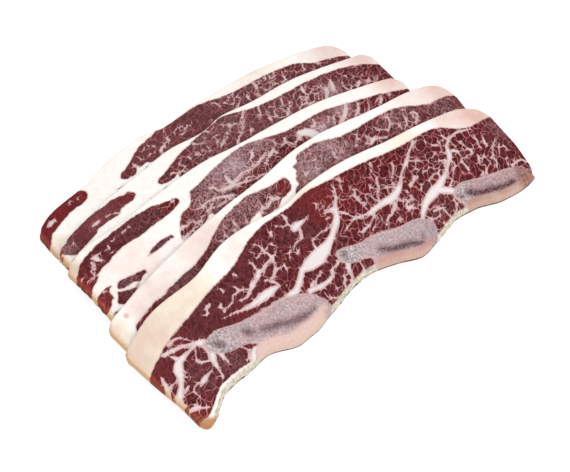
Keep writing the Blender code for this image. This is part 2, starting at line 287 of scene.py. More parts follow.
SEAMS_2 = (
    ((91.5, 227, 2), (94.5, 224.6, 3.6), (98, 222, 3.4), (101.5, 220, 1.2)),
    ((121, 212, 1.8), (112, 214, 1.4), (106, 216.5, 1), (101, 219, 0.8)),
    ((62, 254, 2), (68, 256.5, 3), (74, 256, 2)),
    ((73, 243, 1), (73.5, 246, 1)),
    ((229, 125, 0.8), (228.4, 131.4, 1.2), (226, 139, 1.2)),
    ((228.4, 137, 1), (224.4, 141, 2), (222, 144.2, 3.2), (220.4, 145.8, 2)),
    ((214, 140.2, 0.9), (219.6, 141.8, 1.8)),
    ((206.3, 143.3, 1), (208.3, 147.5, 2), (210.3, 151.4, 1.4)),
    ((208.3, 157.8, 2.4), (213, 157.6, 1.8)),
    ((194.8, 153, 1.2), (198.8, 154.6, 1.5), (198, 151.4, 1.2)),
    ((243.3, 111, 4), (242.5, 118, 2.4), (243.3, 122.3, 2), (242.5, 127.5, 2.5), (241, 131.9, 1.6),
     (239.6, 136.3, 1.6), (238, 143, 3)),
    ((258, 107, 2.5), (259.4, 114.3, 1.5), (258, 119.4, 1.2)),
    ((272.6, 108.4, 1), (274.8, 112.8, 1.8), (275.8, 117, 3)),
    ((281.2, 98.5, 2.6), (282, 104, 2), (281.4, 109, 1.2), (282, 114.3, 1.2), (281.4, 118, 2.2)),
    ((290, 100, 0.8), (289.5, 104, 1.5), (288.7, 109.9, 2.5), (288, 114.5, 4)),
    ((223.5, 125.3, 0.8), (229.3, 125.3, 1.2), (233.7, 124.5, 1.5), (238, 122.3, 2)),
    ((229.3, 125.3, 1), (228.6, 130.4, 1.2), (227, 131.9, 2)),
    ((267.5, 111.3, 1), (269.7, 112.8, 1.5), (268.2, 118, 1.8), (271, 118.9, 2)),
    ((261.6, 115.7, 1.2), (262.3, 120, 1.2)),
    ((251.3, 128, 1.8), (252, 131.9, 2.5)),
    ((202, 128, 1.8), (204.4, 130.8, 2), (207.3, 131.9, 1.5), (211.7, 127.3, 1)),
    ((216.9, 134.8, 1.4), (214.7, 137.7, 1.4)),
    ((170.3, 173.3, 1.8), (175, 172.7, 2.4), (179, 173.4, 3), (181.7, 170.7, 2), (185, 171.3, 2.6)),
    ((181, 161.3, 1.2), (180.3, 164, 2), (182.3, 166, 1.8), (186.3, 166, 1.5), (189, 164.7, 1)),
    ((187, 154.7, 1.2), (190.3, 158.7, 2), (192.3, 156.7, 1.5), (195, 154.7, 2), (197.7, 155.3, 1.8)),
    ((191, 146, 1), (194.3, 143.3, 1.5), (197.7, 144.7, 1), (203.7, 143.3, 1.8)),
    ((326.7, 88.2, 3), (327.4, 92.6, 4), (326.7, 98, 3.6), (326, 102, 3)),
    ((330, 80, 2), (332, 85, 5), (334, 90, 4)),
    ((301.7, 86.5, 2.5), (303.2, 91, 3.5), (305.4, 93.3, 1.6), (308.3, 94, 1.5), (310.5, 91.9, 1.5),
     (312.7, 87.5, 1.5), (315.7, 86, 1.2), (319.3, 87.5, 1), (322.3, 89, 1.2), (326, 90.4, 2.4)),
    ((307.6, 94.8, 1.5), (306.9, 100, 2), (306, 103, 3), (303.2, 105, 2), (299, 109, 1.6)),
    ((300.3, 96, 2), (301.7, 99.2, 2), (306, 99.2, 1.5)),
    ((301, 99.2, 1.2), (301, 104.3, 1.2)),
    ((310.5, 92.6, 1.5), (315.7, 94, 1.2), (316, 99.2, 1), (312, 102.9, 2.4), (308.3, 103.6, 2.4)),
    ((316.4, 94, 1.5), (319.3, 92.6, 1.2), (323, 91, 2)),
    ((317.9, 82.3, 1), (320.8, 86, 1.5), (325.2, 89, 2)),
    ((341.3, 82.3, 1.2), (344.3, 86.7, 1.5), (347.9, 89.5, 2.6)),
    ((352.3, 76, 1), (351.6, 83.8, 1.2), (350.9, 89, 2.4)),
    ((359.4, 80, 2), (358.6, 83.5, 4), (358, 87, 2)),
    ((371.4, 76, 1), (368.5, 79.4, 1.6), (367.5, 83.6, 1.5), (369, 86, 2)),
    ((377.8, 76, 1), (377.3, 78.7, 2), (376.5, 81.6, 1.5)),
    ((346, 76, 0.8), (347, 80, 1)),
    ((295, 93, 1), (293, 97, 1.2)),
)
SEAMS_3 = (
    ((91.5, 259, 2.5), (96, 258.5, 6), (99, 260.5, 3), (103.5, 260, 1.4)),
    ((97, 255.5, 2), (101, 253, 1.2), (105, 250.5, 1.2), (109, 248.3, 1.8), (107.5, 245.5, 1.4)),
    ((111.3, 242, 1.6), (114.7, 238, 1), (122, 232.9, 1.1), (128.7, 227.2, 1.4)),
    ((110, 253.3, 1), (112.6, 251.7, 1.2)),
    ((92, 263, 2.5), (93.3, 267, 2.5), (91, 271.7, 1.5), (94, 273.9, 1.8)),
    ((95, 264, 2), (95.5, 270, 1.5), (94.8, 273, 1.3)),
    ((88.2, 282, 1.4), (91.9, 279, 1.8), (99, 274.6, 1.4)),
    ((81, 279.7, 1), (84.5, 276, 1.2)),
    ((170.5, 202, 1), (174, 200.6, 2)),
    ((103, 293, 1), (107, 290, 1.2)),
    ((251.6, 149, 1.5), (251.6, 151.8, 2.8), (252.4, 155.4, 4), (250.8, 158.6, 2.5),
     (247.6, 163.4, 1.5), (244.4, 167.4, 1)),
    ((266, 151, 2), (263.6, 156, 3.5), (259.6, 160.2, 3), (256.4, 165, 3), (252.4, 168.2, 2.5),
     (247.6, 170.6, 2.5), (242, 173, 2.5), (238, 177, 2.8), (236, 181, 3.4)),
    ((225.2, 176.2, 2.5), (228.4, 180.2, 4), (231.6, 182.6, 5), (236, 181, 3)),
    ((237, 184.6, 3.5), (244.4, 181.8, 2.5), (250.8, 180.2, 2), (257.2, 177.8, 2), (262, 174.6, 2.5),
     (266.8, 173, 2), (270, 169.8, 2)),
    ((222, 190.6, 3), (227.6, 187.4, 4), (234.8, 184.6, 4)),
    ((209.2, 188.2, 3), (213.2, 187.4, 3), (216.4, 189.8, 2), (222, 190.2, 3)),
    ((224.5, 169, 2.2), (224.4, 171.5, 1.4)),
    ((274, 140.2, 1.5), (274.8, 143.4, 2), (274, 148.2, 2.5), (271.6, 152.2, 4), (269, 157, 3)),
    ((277.2, 143.4, 1.2), (282, 144.2, 1.5), (285.6, 140.4, 2.5), (284.4, 137.8, 3)),
    ((285.6, 141.4, 2), (290.8, 142.8, 2), (294, 144, 2.5), (297.2, 139.6, 2.5), (302, 135, 3.4)),
    ((274.8, 151, 3), (278, 153.4, 2)),
    ((199, 200, 1.2), (202, 206.5, 2), (206, 203.5, 2), (209.6, 199.6, 2.2)),
    ((213.2, 203.4, 2), (210, 208.2, 2.4), (206, 213, 2), (202, 218, 2), (198, 222, 2)),
    ((213, 208.6, 1.4), (222, 204.2, 2), (228.4, 200, 1.6), (233, 196, 2)),
    ((212.4, 199.4, 2.4), (217.2, 197.8, 3), (226.8, 196.2, 3), (233, 194.6, 3)),
    ((268, 160, 3), (265, 164, 2), (262, 170, 1)),
    ((197, 216, 1.5), (199, 210, 1.2)),
    ((246, 178, 1), (251, 174, 1)),
    ((179, 229, 4), (186, 226, 3), (193, 221, 1.6)),
    ((184, 239, 4), (190, 233, 3), (198, 226, 2), (203, 221, 1.2)),
    ((345.7, 103, 3.4), (345.7, 111.7, 5), (344.3, 116, 5), (341.3, 122, 4), (340, 125, 4)),
    ((356, 101.4, 1.2), (358.2, 104.3, 2), (358.2, 110.2, 3.4), (355.5, 116, 3)),
    ((367, 101, 1), (369.2, 106.5, 2), (368.5, 111, 2.5)),
    ((380.9, 95, 2), (380.9, 100.7, 3), (379.5, 104, 2.2)),
    ((377.3, 97, 1), (376.5, 101, 2)),
    ((390, 93, 1), (388, 97, 1.2)),
    ((328.1, 116.8, 1.5), (328.9, 120.5, 2.5), (325.9, 124, 1.5), (322.3, 126.3, 2), (319.3, 125.6, 1.6)),
    ((334, 116.8, 1.8), (333.3, 122, 2)),
    ((312, 126.3, 4), (314.2, 125.6, 3), (314.2, 122, 2), (312.7, 119.5, 3)),
    ((300, 133, 7), (307, 132, 10), (314, 134, 11), (320, 136, 7)),
    ((337, 110, 1.2), (340, 115, 1.5)),
)
SEAMS_4 = (
    ((233.2, 221.8, 1.5), (236.4, 225.8, 1.8), (238.8, 229, 1)),
    ((225.7, 224.8, 1.2), (229.3, 224.8, 1), (231.5, 226.3, 0.8)),
    ((225.4, 234.6, 2.6), (227, 237.3, 2.2)),
    ((221.3, 241, 1.5), (222.6, 242.2, 1)),
    ((247, 218.2, 1.8), (248.4, 220.4, 1.4)),
    ((234.8, 229, 1.6), (235.6, 232, 1.6)),
    ((269.2, 196.6, 2), (272.4, 199, 4), (277.2, 198.2, 3), (280, 195.8, 1.2)),
    ((270, 201, 3), (268.4, 205.8, 3), (263.6, 208.2, 3), (260.4, 204.2, 1.5), (256.4, 201.8, 1)),
    ((261.2, 208.2, 2.6), (262, 213, 3)),
    ((276.4, 181, 1.4), (274.8, 186.6, 1.2), (273.2, 189, 0.8)),
    ((305, 171, 1), (306, 175, 2.4), (308, 173, 1.2)),
    ((313, 166, 1), (318, 169, 1.6), (321, 167, 1.4)),
    ((312, 158, 1.6), (314, 161, 1)),
    ((375.8, 136.6, 3), (372.9, 140.3, 4.5), (371.2, 144, 3.4)),
    ((365.5, 136.6, 1.5), (367.7, 138.8, 2), (367, 144, 2)),
    ((376.5, 136.8, 1.5), (380.2, 138, 2), (387.5, 137.3, 1.8)),
    ((387.3, 114.5, 1.8), (388, 118.8, 1.6), (390, 123, 2.4), (389.2, 127.4, 2.5), (388, 130.5, 2)),
    ((389, 130, 1.6), (381.7, 129.3, 1.5), (376.5, 130, 1.5), (375, 127.8, 1)),
    ((389.7, 124.9, 1.6), (394.4, 123, 1.2), (399.8, 125.5, 1.5), (402, 129, 2)),
    ((403.5, 110.9, 0.8), (403.5, 115.3, 1.8), (405.7, 118.9, 1.8), (407, 123.3, 2), (405, 127, 1.4)),
    ((402.7, 124.8, 1), (407.9, 125.5, 2)),
    ((413.7, 112.3, 3), (416.7, 113.8, 2.4), (417.4, 117, 2), (417.4, 120.4, 2.5), (416, 124, 2.5)),
    ((410, 111.6, 0.8), (413.7, 116, 1), (416.7, 117.5, 1.4)),
    ((444.5, 112, 1.6), (445.4, 113.6, 2.4)),
    ((355, 133, 0.8), (358, 140, 1.2), (356, 147, 1.2)),
    ((345, 140, 0.7), (346, 147, 1.2), (343, 152, 1.4)),
    ((335, 148, 0.6), (334, 154, 1.2), (337, 158, 1.2)),
)
SEAMS_5 = (
    ((331, 184, 2), (334.3, 190, 1.8), (336, 197, 2.8), (335, 204, 4.4), (336, 212, 5.6),
     (336.5, 220, 7), (334.5, 228, 6.4), (332, 236, 6.4), (328.5, 243, 8), (324, 250, 12),
     (317, 258, 15), (309.5, 265, 12), (303, 270, 6.6), (301, 275, 5.6), (300, 280, 6),
     (298.5, 285, 6), (296, 291, 7), (292, 296, 7)),
    ((296, 291, 7), (291, 295, 7), (285, 299, 4), (280, 301, 1.5)),
    ((333, 209, 5), (327, 212, 2.6), (323, 214, 1.4)),
    ((315, 203, 1), (316.4, 205.9, 2.4), (316, 210.3, 1.4)),
    ((323, 204.4, 1.4), (322.3, 207.3, 2), (320, 209.5, 1)),
    ((329.6, 204.4, 1), (328, 207.3, 1.6), (324.5, 211.7, 1.6)),
    ((326, 219, 2), (330, 217.5, 1.8)),
    ((331, 225, 1.4), (329.6, 227, 1.8), (325, 230, 1.5), (320.8, 232.3, 1.5), (317, 236, 1.5),
     (313.5, 239, 1.5), (312.7, 242.5, 1.5), (313.5, 245.5, 2), (316, 248, 3)),
    ((308.5, 215.5, 0.8), (304.7, 219.8, 2.6), (299.5, 223.5, 6), (295, 227.5, 8), (294, 230, 5)),
    ((300, 229, 3), (301.3, 233, 2.6), (301.9, 237.3, 2.8), (299.7, 240.2, 2), (296, 242.4, 1.5),
     (292.4, 248.3, 1.5), (288.7, 253.4, 2)),
    ((297, 249, 1), (298, 252, 1.6), (296, 254, 1)),
    ((291, 257, 1.6), (291.6, 258.6, 1)),
    ((292, 227, 2), (288, 224, 2.5), (286.5, 221, 2.5), (284.3, 216.7, 3.2), (280.7, 214.5, 1.5)),
    ((287, 224, 2), (284.3, 226.3, 1.5), (282.9, 227, 1), (277.7, 226.3, 1), (273.3, 224.8, 0.8)),
    ((270.6, 231.6, 2), (271.2, 234, 3), (271.5, 237, 2.2)),
    ((267.5, 232, 1), (270.4, 233.6, 1.2)),
    ((271.3, 242, 1.4), (271.5, 244.5, 2)),
    ((274.8, 247.5, 1.2), (274, 252, 1), (275.5, 253.4, 1)),
    ((250.6, 244.6, 1), (254.3, 244.6, 1.6), (258.7, 246, 1.5), (260.9, 248.3, 1.5),
     (263, 251.2, 2.8), (266, 252.7, 2), (269.7, 255.6, 2.6), (271.9, 257.4, 4)),
    ((260.9, 240.2, 0.8), (261.6, 244.6, 1.2), (263, 249.7, 2)),
    ((267.5, 247.5, 1.4), (265.3, 250.5, 1.5)),
    ((271.9, 257, 3), (275.5, 254, 1.2), (277.7, 252, 0.8)),
    ((273, 258.4, 3), (274.3, 263.7, 1.8), (274.8, 268, 2), (276, 270, 3)),
    ((271.9, 257.4, 4), (270.4, 260.7, 3.6), (267.5, 262.9, 3), (264.5, 266.6, 3),
     (262.3, 270.3, 3.6), (258.7, 272, 5), (257.9, 276, 5), (256, 280, 4), (252.8, 284.2, 5),
     (251.3, 287.9, 3.6), (249.9, 290.8, 3), (247.7, 296, 3), (244, 298.9, 2), (240.3, 300.3, 1.2)),
    ((258.7, 271, 2.4), (256.5, 269.5, 1.6), (254.3, 266.6, 2.4), (252, 263.7, 1.2),
     (249.9, 262.2, 1.5), (248.4, 259.3, 1)),
    ((260, 252.7, 0.8), (258.7, 255.6, 1.2), (256.5, 258.5, 1.2)),
    ((250.6, 252.7, 0.5), (255, 253.8, 0.7), (260, 253.2, 0.6)),
    ((276.3, 269.5, 3.4), (280, 268, 1.8), (284.3, 265, 1.2), (286, 263.5, 0.8)),
    ((276.3, 269.5, 3.4), (274.8, 272.5, 3), (273.3, 276, 2.4), (271, 279, 2), (269.7, 281.3, 2),
     (273.3, 281.6, 3), (276.3, 283, 2.5), (279.2, 284.6, 2)),
    ((264.5, 280.5, 1.2), (266, 279.8, 1.5), (269.7, 280.5, 1.5)),
    ((285.2, 266, 1.8), (286.3, 269.5, 1.4)),
    ((286.4, 284, 1.4), (286.8, 286, 1.6)),
    ((279.5, 285.6, 2), (276, 287.4, 4.5), (272, 290, 7), (267, 294, 8), (262, 298, 7.6),
     (257, 302, 6), (250.8, 306.2, 5), (244.4, 309.2, 3), (238, 311.6, 2), (233, 313.4, 1.4),
     (227.6, 316.6, 1), (222, 319, 0.8)),
    ((249, 289.4, 1.8), (243.3, 289.3, 1.6), (239.6, 290.8, 2), (236.7, 293, 2), (233, 295.2, 2),
     (232.8, 299, 1.8), (231.6, 303, 1.2), (228.4, 306.2, 1.2), (225.2, 308.6, 1.5),
     (224.4, 312.6, 1.4)),
    ((238, 290, 2.4), (236.7, 287.9, 1.5), (233, 286.6, 1)),
    ((233, 274, 1), (235.6, 275, 2.8), (236.5, 275.3, 1)),
    ((219.8, 288.6, 1.2), (222, 290.2, 2.6), (223.4, 291.8, 1.6)),
    ((210.8, 303.8, 1.2), (207.6, 306.2, 2.8), (205.2, 308.6, 1.8)),
    ((207.2, 308, 1.2), (207.2, 314.2, 2), (202.8, 315.4, 1.2)),
    ((221.2, 303.8, 1.8), (220.4, 307, 3.4), (222.8, 308.2, 1.8)),
    ((369.8, 164, 1.4), (370, 169.5, 1.3), (374, 174, 1.3), (377, 180, 2), (378, 186, 2.2),
     (378, 192, 2), (378.5, 198, 2), (380, 203, 4)),
    ((378.5, 186, 1.6), (383, 184.5, 1.2), (387, 187, 2), (392, 187, 1.8), (396, 184, 1.4)),
    ((387.5, 187, 1.5), (388, 192, 1), (387, 198, 0.8)),
    ((391.5, 163.5, 2), (393.4, 168, 2.5), (392.5, 175, 2), (391.8, 181, 1.4), (394, 187, 2)),
    ((384.6, 179.6, 0.8), (390.5, 179.6, 0.8)),
    ((369, 187, 0.8), (377, 189, 1.1)),
    ((367.5, 194.6, 1), (373, 198, 1.3), (378, 201, 1.3)),
    ((366.4, 197, 0.8), (365, 204, 0.8)),
    ((350.5, 187, 0.8), (354.5, 190, 1.2), (354.6, 194, 3), (355, 196.6, 3.2), (358, 199.4, 1.6),
     (362.6, 204.2, 1.3), (367, 209.3, 1.5)),
    ((341, 196.5, 0.6), (350, 196, 1.2), (354, 196, 1.2)),
    ((342.5, 184, 1.4), (341.5, 188, 0.8), (343, 190, 0.6)),
    ((336, 180.4, 1.2), (340, 179, 0.7)),
    ((412.5, 141, 3), (412, 145, 3), (410, 149.5, 2.5), (408.2, 155, 2.4), (406.5, 160, 4),
     (406, 163, 4.4), (403.5, 168, 2.8), (401.5, 174, 2.6), (400.5, 180, 3), (400, 185, 4.4),
     (398, 190, 6.4), (393, 197, 8.4), (386, 201.5, 7.4), (379, 206, 6), (374, 210, 6),
     (370, 213, 4.4), (365, 214.6, 2.6), (360, 216.5, 2.2), (355, 217.6, 3), (351.6, 222, 1.6),
     (347.2, 227.9, 2), (343.6, 234, 0.8)),
    ((355, 217.4, 2.6), (349.5, 215, 1.3), (345, 212.6, 2.6), (340, 212, 3)),
    ((410, 185, 3.6), (413, 181, 2.4), (415, 177.4, 3.4), (417.5, 176.6, 1.4)),
    ((409, 160.7, 1.8), (418, 161, 1.6), (421, 160.4, 1.1), (428, 160.6, 0.6)),
    ((411, 165, 1), (414, 167, 1), (418, 170, 0.8)),
    ((412.6, 143.6, 2.4), (416, 141.2, 1.8), (420, 139.4, 1.2)),
    ((421, 138.8, 0.8), (426.5, 142, 0.8), (432.8, 145, 1), (436.5, 144.5, 1), (438.8, 141.6, 1.5),
     (443, 140, 2)),
    ((440.9, 131.8, 1.1), (441.2, 134.3, 1.4), (444.5, 138, 2), (448.2, 140.2, 3.6)),
    ((449, 139, 3.4), (452.5, 135, 2.6), (457, 132, 3), (463, 130.4, 3), (469, 129, 1.4)),
    ((450, 141, 1.5), (453, 144, 1), (456, 147, 0.6)),
    ((448.6, 140.6, 3.6), (446.5, 145, 3), (447, 149, 3.4), (449, 153.5, 6), (449.5, 158, 5),
     (448.5, 162, 4.4), (447.3, 167, 3.6), (446.3, 172, 3.8), (444, 177, 5), (441, 182, 7),
     (438.5, 187, 9), (434, 192, 10.4), (430, 197, 9), (426.5, 202, 7.6), (424, 208, 6),
     (423, 215, 5), (422.6, 219, 4)),
    ((438, 189.6, 8), (445, 190.6, 7), (453, 191, 6.6)),
    ((473, 145.6, 1.2), (476, 143.7, 1.1), (477.3, 140.6, 1.8), (474.7, 137, 1.8), (472.7, 134, 1)),
    ((477.3, 141, 1.5), (478, 145, 1.5), (481.3, 147.7, 1.2)),
    ((460, 141.3, 1), (463.3, 145, 1.5), (468, 148.3, 1.5), (471.3, 151, 3.4), (472, 154.6, 1.5)),
    ((481, 135, 0.8), (482.7, 138.3, 1.5), (484, 141, 2.4), (485.3, 143.7, 3.2), (487, 146, 1.4)),
    ((495.3, 137.5, 1.2), (494.7, 141, 1.8), (493.3, 143.7, 1.5), (492, 147, 2), (492.7, 151, 1.5),
     (492.7, 155, 1.8), (491.3, 158, 2.4)),
    ((499.3, 143, 1.2), (498.7, 147, 1.8), (499.3, 151.7, 1.4), (499.3, 156.3, 0.8)),
    ((504, 145.7, 1), (506.7, 148.3, 1.2), (508, 151, 0.6)),
    ((507.3, 157.7, 1.2), (506.7, 161.7, 1), (509, 166.6, 1.2)),
    ((477.3, 155, 2), (478.7, 157.7, 2.4), (478.3, 162, 1.2)),
    ((478.7, 157.7, 1.5), (482.7, 158, 1.8), (484, 155.4, 1.8)),
    ((482.5, 158, 1.8), (482, 163, 1)),
    ((490, 157.7, 1.5), (494.7, 159, 1.8), (496.7, 162.3, 1.8), (496.7, 167, 1.5)),
    ((489.3, 161, 0.8), (489.3, 164.3, 1), (487.3, 168.3, 1.6), (486.7, 174, 2)),
    ((483.3, 171, 1.6), (482.7, 175, 2.6)),
    ((462, 157.7, 1.5), (461.3, 161, 2.4), (464.7, 164.3, 2), (467.3, 167.7, 2.8), (470, 170.3, 1)),
    ((462.7, 158.3, 1.2), (466.7, 156.3, 1.5), (470.5, 154, 1.8)),
    ((450.5, 160, 2), (453.3, 161.9, 1.5), (455.1, 164.6, 2), (454.3, 168.3, 2), (453.3, 172.3, 1.6),
     (453, 176.3, 1.3), (452, 181, 2), (449.6, 187, 2.4)),
    ((452, 151, 4), (456.5, 151, 3), (459, 153.5, 2), (461, 157, 1.2)),
    ((460, 149, 0.7), (466.7, 149, 0.7)),
    ((434.5, 151.6, 1.6), (435, 153.4, 1.8), (432.4, 156.9, 1)),
    ((436, 152, 0.7), (440, 151.8, 0.9), (445, 152.9, 1.6)),
    ((426.9, 152, 0.8), (425.5, 156.3, 0.8), (424, 157.8, 0.8)),
    ((446, 160.4, 2.6), (440, 160.5, 1.8), (435.7, 161.5, 1), (431.3, 160.7, 0.6)),
    ((446, 162, 2), (440.9, 163.7, 1.2), (438.7, 168, 1.4), (434.3, 168.8, 1), (430.6, 167.3, 1.2),
     (427, 168.8, 0.8)),
    ((427, 170.5, 1.4), (424, 171.5, 2), (423, 172, 1)),
    ((439.4, 168.8, 1.2), (438.7, 173.2, 1.5), (434.3, 174.7, 1.5), (432, 177.6, 2), (431.3, 179, 2)),
    ((438.7, 173.2, 1.6), (440, 176.5, 2), (441, 180, 3)),
    ((431.3, 178.6, 1.4), (435.7, 180.2, 1), (438.7, 180.6, 1)),
    ((431, 179, 1), (428.4, 182, 0.8), (427, 185.7, 0.6)),
    ((421, 183.5, 0.8), (422.2, 186.4, 1), (421, 189.3, 0.7)),
    ((407, 190, 1.3), (408, 195.2, 1), (406.4, 198.5, 1)),
    ((398.3, 197.6, 1), (398, 200.3, 1.2), (402, 201, 1), (405.7, 200.3, 0.8)),
    ((410.6, 195.6, 1.8), (412, 198.6, 2.4), (408.6, 200.6, 2), (406.6, 204, 2.6), (408, 208, 4),
     (411.6, 206.4, 3.6), (414, 203, 1)),
    ((395, 203, 4), (394, 208, 3.5), (392.5, 213, 2.4), (389.4, 217.5, 2), (386.8, 221.4, 2),
     (387.5, 226, 1)),
    ((384, 215, 0.7), (380.2, 221.3, 1.2), (376.5, 225, 1.2), (372.6, 230, 1.2)),
    ((374.3, 212, 3), (373.6, 217, 2.4), (371.4, 221.3, 1.8), (370, 224.2, 2.4), (366.3, 227.9, 2.6),
     (361.5, 232.6, 1.5)),
    ((414.7, 202, 0.8), (416.4, 205, 0.8), (413.7, 209, 0.8), (412.3, 214, 0.8)),
    ((403, 214, 0.8), (400, 220, 0.7)),
    ((338.5, 262, 3), (335.5, 266, 2.2), (332, 270.5, 2.2), (332.7, 275.5, 3.5), (329.5, 280.4, 4),
     (323.5, 284.8, 5), (317, 288, 5.4), (310, 291, 6)),
    ((320.8, 271.1, 0.6), (321.5, 272.6, 0.8), (317.9, 277, 1.2), (316.4, 279.2, 2),
     (315.7, 284.3, 2.2), (315, 288, 3)),
    ((313, 281, 1.6), (312, 286, 4)),
    ((348, 262.8, 6), (348.8, 268.6, 4.6), (350.9, 274, 3), (352.3, 277.7, 2.5), (351.6, 282, 2.2),
     (352.6, 287, 3)),
    ((348.4, 273.6, 1.5), (344.6, 276.3, 1.6), (345, 279.6, 2.4), (344.6, 283, 2.4),
     (346, 287, 2.6), (349, 290, 3.4)),
    ((341.3, 286.5, 0.8), (335.5, 289.5, 0.8)),
    ((360.4, 262.3, 1.5), (363.3, 266.7, 2.2), (364.8, 270.4, 2.5), (367, 273, 3)),
    ((324.5, 292.6, 1.2), (328, 296.8, 1.5), (334, 297.5, 1.5), (341, 296.8, 1.6)),
    ((434, 211, 2.6), (440, 208.5, 2), (446, 207.4, 1)),
    ((425, 215, 1.2), (431, 218.5, 2), (436.6, 218, 1.6), (441, 214, 1.4)),
    ((436, 219, 1), (443, 223, 0.7), (449.6, 226, 0.6)),
    ((453, 199, 1), (456, 203, 1.6), (457, 208, 1.4), (455, 213, 1)),
    ((446, 209.5, 0.8), (448, 214, 0.8), (452, 217, 0.7)),
    ((168, 345, 3.4), (172.6, 340.4, 2.6), (178, 338.2, 2.2), (184, 338.4, 0.8)),
    ((184, 339, 0.7), (190, 340.6, 0.9), (196, 342, 1)),
    ((163, 355.6, 3), (167, 353.4, 3.6), (175, 349.3, 3.8), (181.6, 346.5, 3.4), (189.6, 344.6, 3),
     (196, 343.6, 5), (203, 343, 8)),
    ((194, 345.6, 4), (191, 349, 3), (187.4, 353, 3.4), (183.2, 357.4, 5.4), (179.5, 362, 7),
     (178.6, 367, 9), (178.8, 372, 9), (181, 378, 6), (181.2, 386, 5.2), (180.6, 392, 6.4),
     (179, 399, 7.4), (177, 404, 8)),
    ((172, 357, 2.6), (176, 358.6, 4), (179, 361, 4)),
    ((195.2, 350.8, 0.8), (196, 356.4, 1.4), (197.6, 361, 2.4), (199.4, 362.2, 3), (204, 361.8, 2.4),
     (208.8, 360.8, 2), (211, 360.4, 2.4)),
    ((200.8, 346, 1.4), (204, 347.6, 2.4), (208, 351.6, 3), (210.4, 356.4, 3), (211, 359.6, 3.4)),
    ((212, 352, 6), (212.6, 357, 7), (214.6, 362.5, 5), (218.4, 369.2, 2.4), (221.6, 374, 1.8),
     (223.4, 378, 1.4)),
    ((220, 352, 6), (223, 356.4, 4.4), (226.4, 359.6, 2.4), (229.2, 363.4, 1)),
    ((211.6, 370.6, 1), (207.4, 375.4, 3.4), (204.2, 379.4, 5.4), (203, 381.8, 4.6)),
    ((203, 381.8, 2.6), (199.2, 382.8, 1.8), (196, 385.2, 1.7), (194.4, 387.6, 1.7),
     (194.4, 391.6, 1.6), (196.8, 394, 1.4), (199.4, 395.8, 0.8)),
    ((202.6, 384.6, 1.6), (200.6, 386.2, 1)),
    ((161.4, 378, 2.2), (165.6, 385.2, 3.6), (168, 389.4, 5), (172, 386, 2.4), (175.2, 382.8, 1.5),
     (178.6, 377.6, 1.2)),
    ((168, 390.6, 3), (170, 395, 2)),
    ((185, 377, 2), (188, 377.4, 1.4)),
    ((189, 386, 1.6), (187, 389, 3), (185, 393, 2.4)),
    ((181, 403.5, 4.4), (185.4, 405.6, 2.4)),
    ((190.6, 410, 3), (196, 408.4, 5), (198, 407, 4), (202.4, 408, 2.2), (209, 407, 2)),
    ((195, 404.4, 1.2), (196, 407, 2)),
    ((240.8, 346, 1.4), (247, 349.2, 1.6), (251, 350.2, 2.2)),
    ((248, 351, 1.6), (249.2, 356, 1.6), (247, 360, 1.2)),
    ((262, 348, 8), (256, 352, 9), (252.6, 358, 6)),
    ((512, 166, 2), (515, 162.6, 2.4), (521, 159.6, 2.2), (527, 161.6, 2)),
)
SEAMS = (SEAMS_1, SEAMS_2, SEAMS_3, SEAMS_4, SEAMS_5)
# How wide the membrane on the bone edge is, in millimetres, at places from the left end
MEMBRANE = ((0, 2.0), (14, 2.4), (34, 2.0), (52, 1.2), (110, 0.7), (170, 0.7), (234, 0.6))
# Outlines of the sawn ribs in the front slice, with the rind below them, in the same pixels
RIB_OUTLINES = {
    "rib_a": (
        (203, 345.5), (206.5, 340), (212, 334), (219, 329), (228, 326.5), (237, 324), (245, 320.5),
        (253, 316), (261, 311.5), (269, 306.5), (278, 301), (288, 297), (299, 294.5), (310, 294),
        (320, 297), (327, 302), (332, 309), (338, 318), (330, 331), (316, 343), (300, 352),
        (284, 357), (270, 361), (261, 360), (256, 354), (257, 348), (258, 343.5), (251, 343),
        (243, 345), (238, 347.5), (231, 351.5), (223, 354), (214, 352.5), (207.5, 350),
    ),
    "rib_b": (
        (337, 254), (340, 249.5), (347, 246.5), (356, 244.3), (364, 241), (371, 236.8), (380, 233),
        (390, 230.5), (400, 227), (408, 222.5), (415, 219.5), (423, 218.8), (430, 221), (434.5, 226),
        (437, 233), (439, 241), (434, 252), (425, 262), (412, 268), (398, 270), (386, 271),
        (378, 268), (375.5, 262), (374, 257.5), (366, 258), (358, 261), (350, 263), (343, 261.5),
        (338.5, 258),
    ),
    "rib_c": (
        (453.5, 193.5), (455.5, 188.5), (459, 184.3), (465, 181.3), (472, 179.6), (480, 178),
        (488, 175.5), (496, 172.8), (503, 170), (509, 168.3), (515, 166.8), (521, 166.5), (527, 169),
        (532, 171), (537, 177), (530, 188), (518, 196), (504, 204), (492, 209), (480, 211),
        (470, 209.5), (464, 204), (459.5, 200.5), (455.5, 197.5),
    ),
}
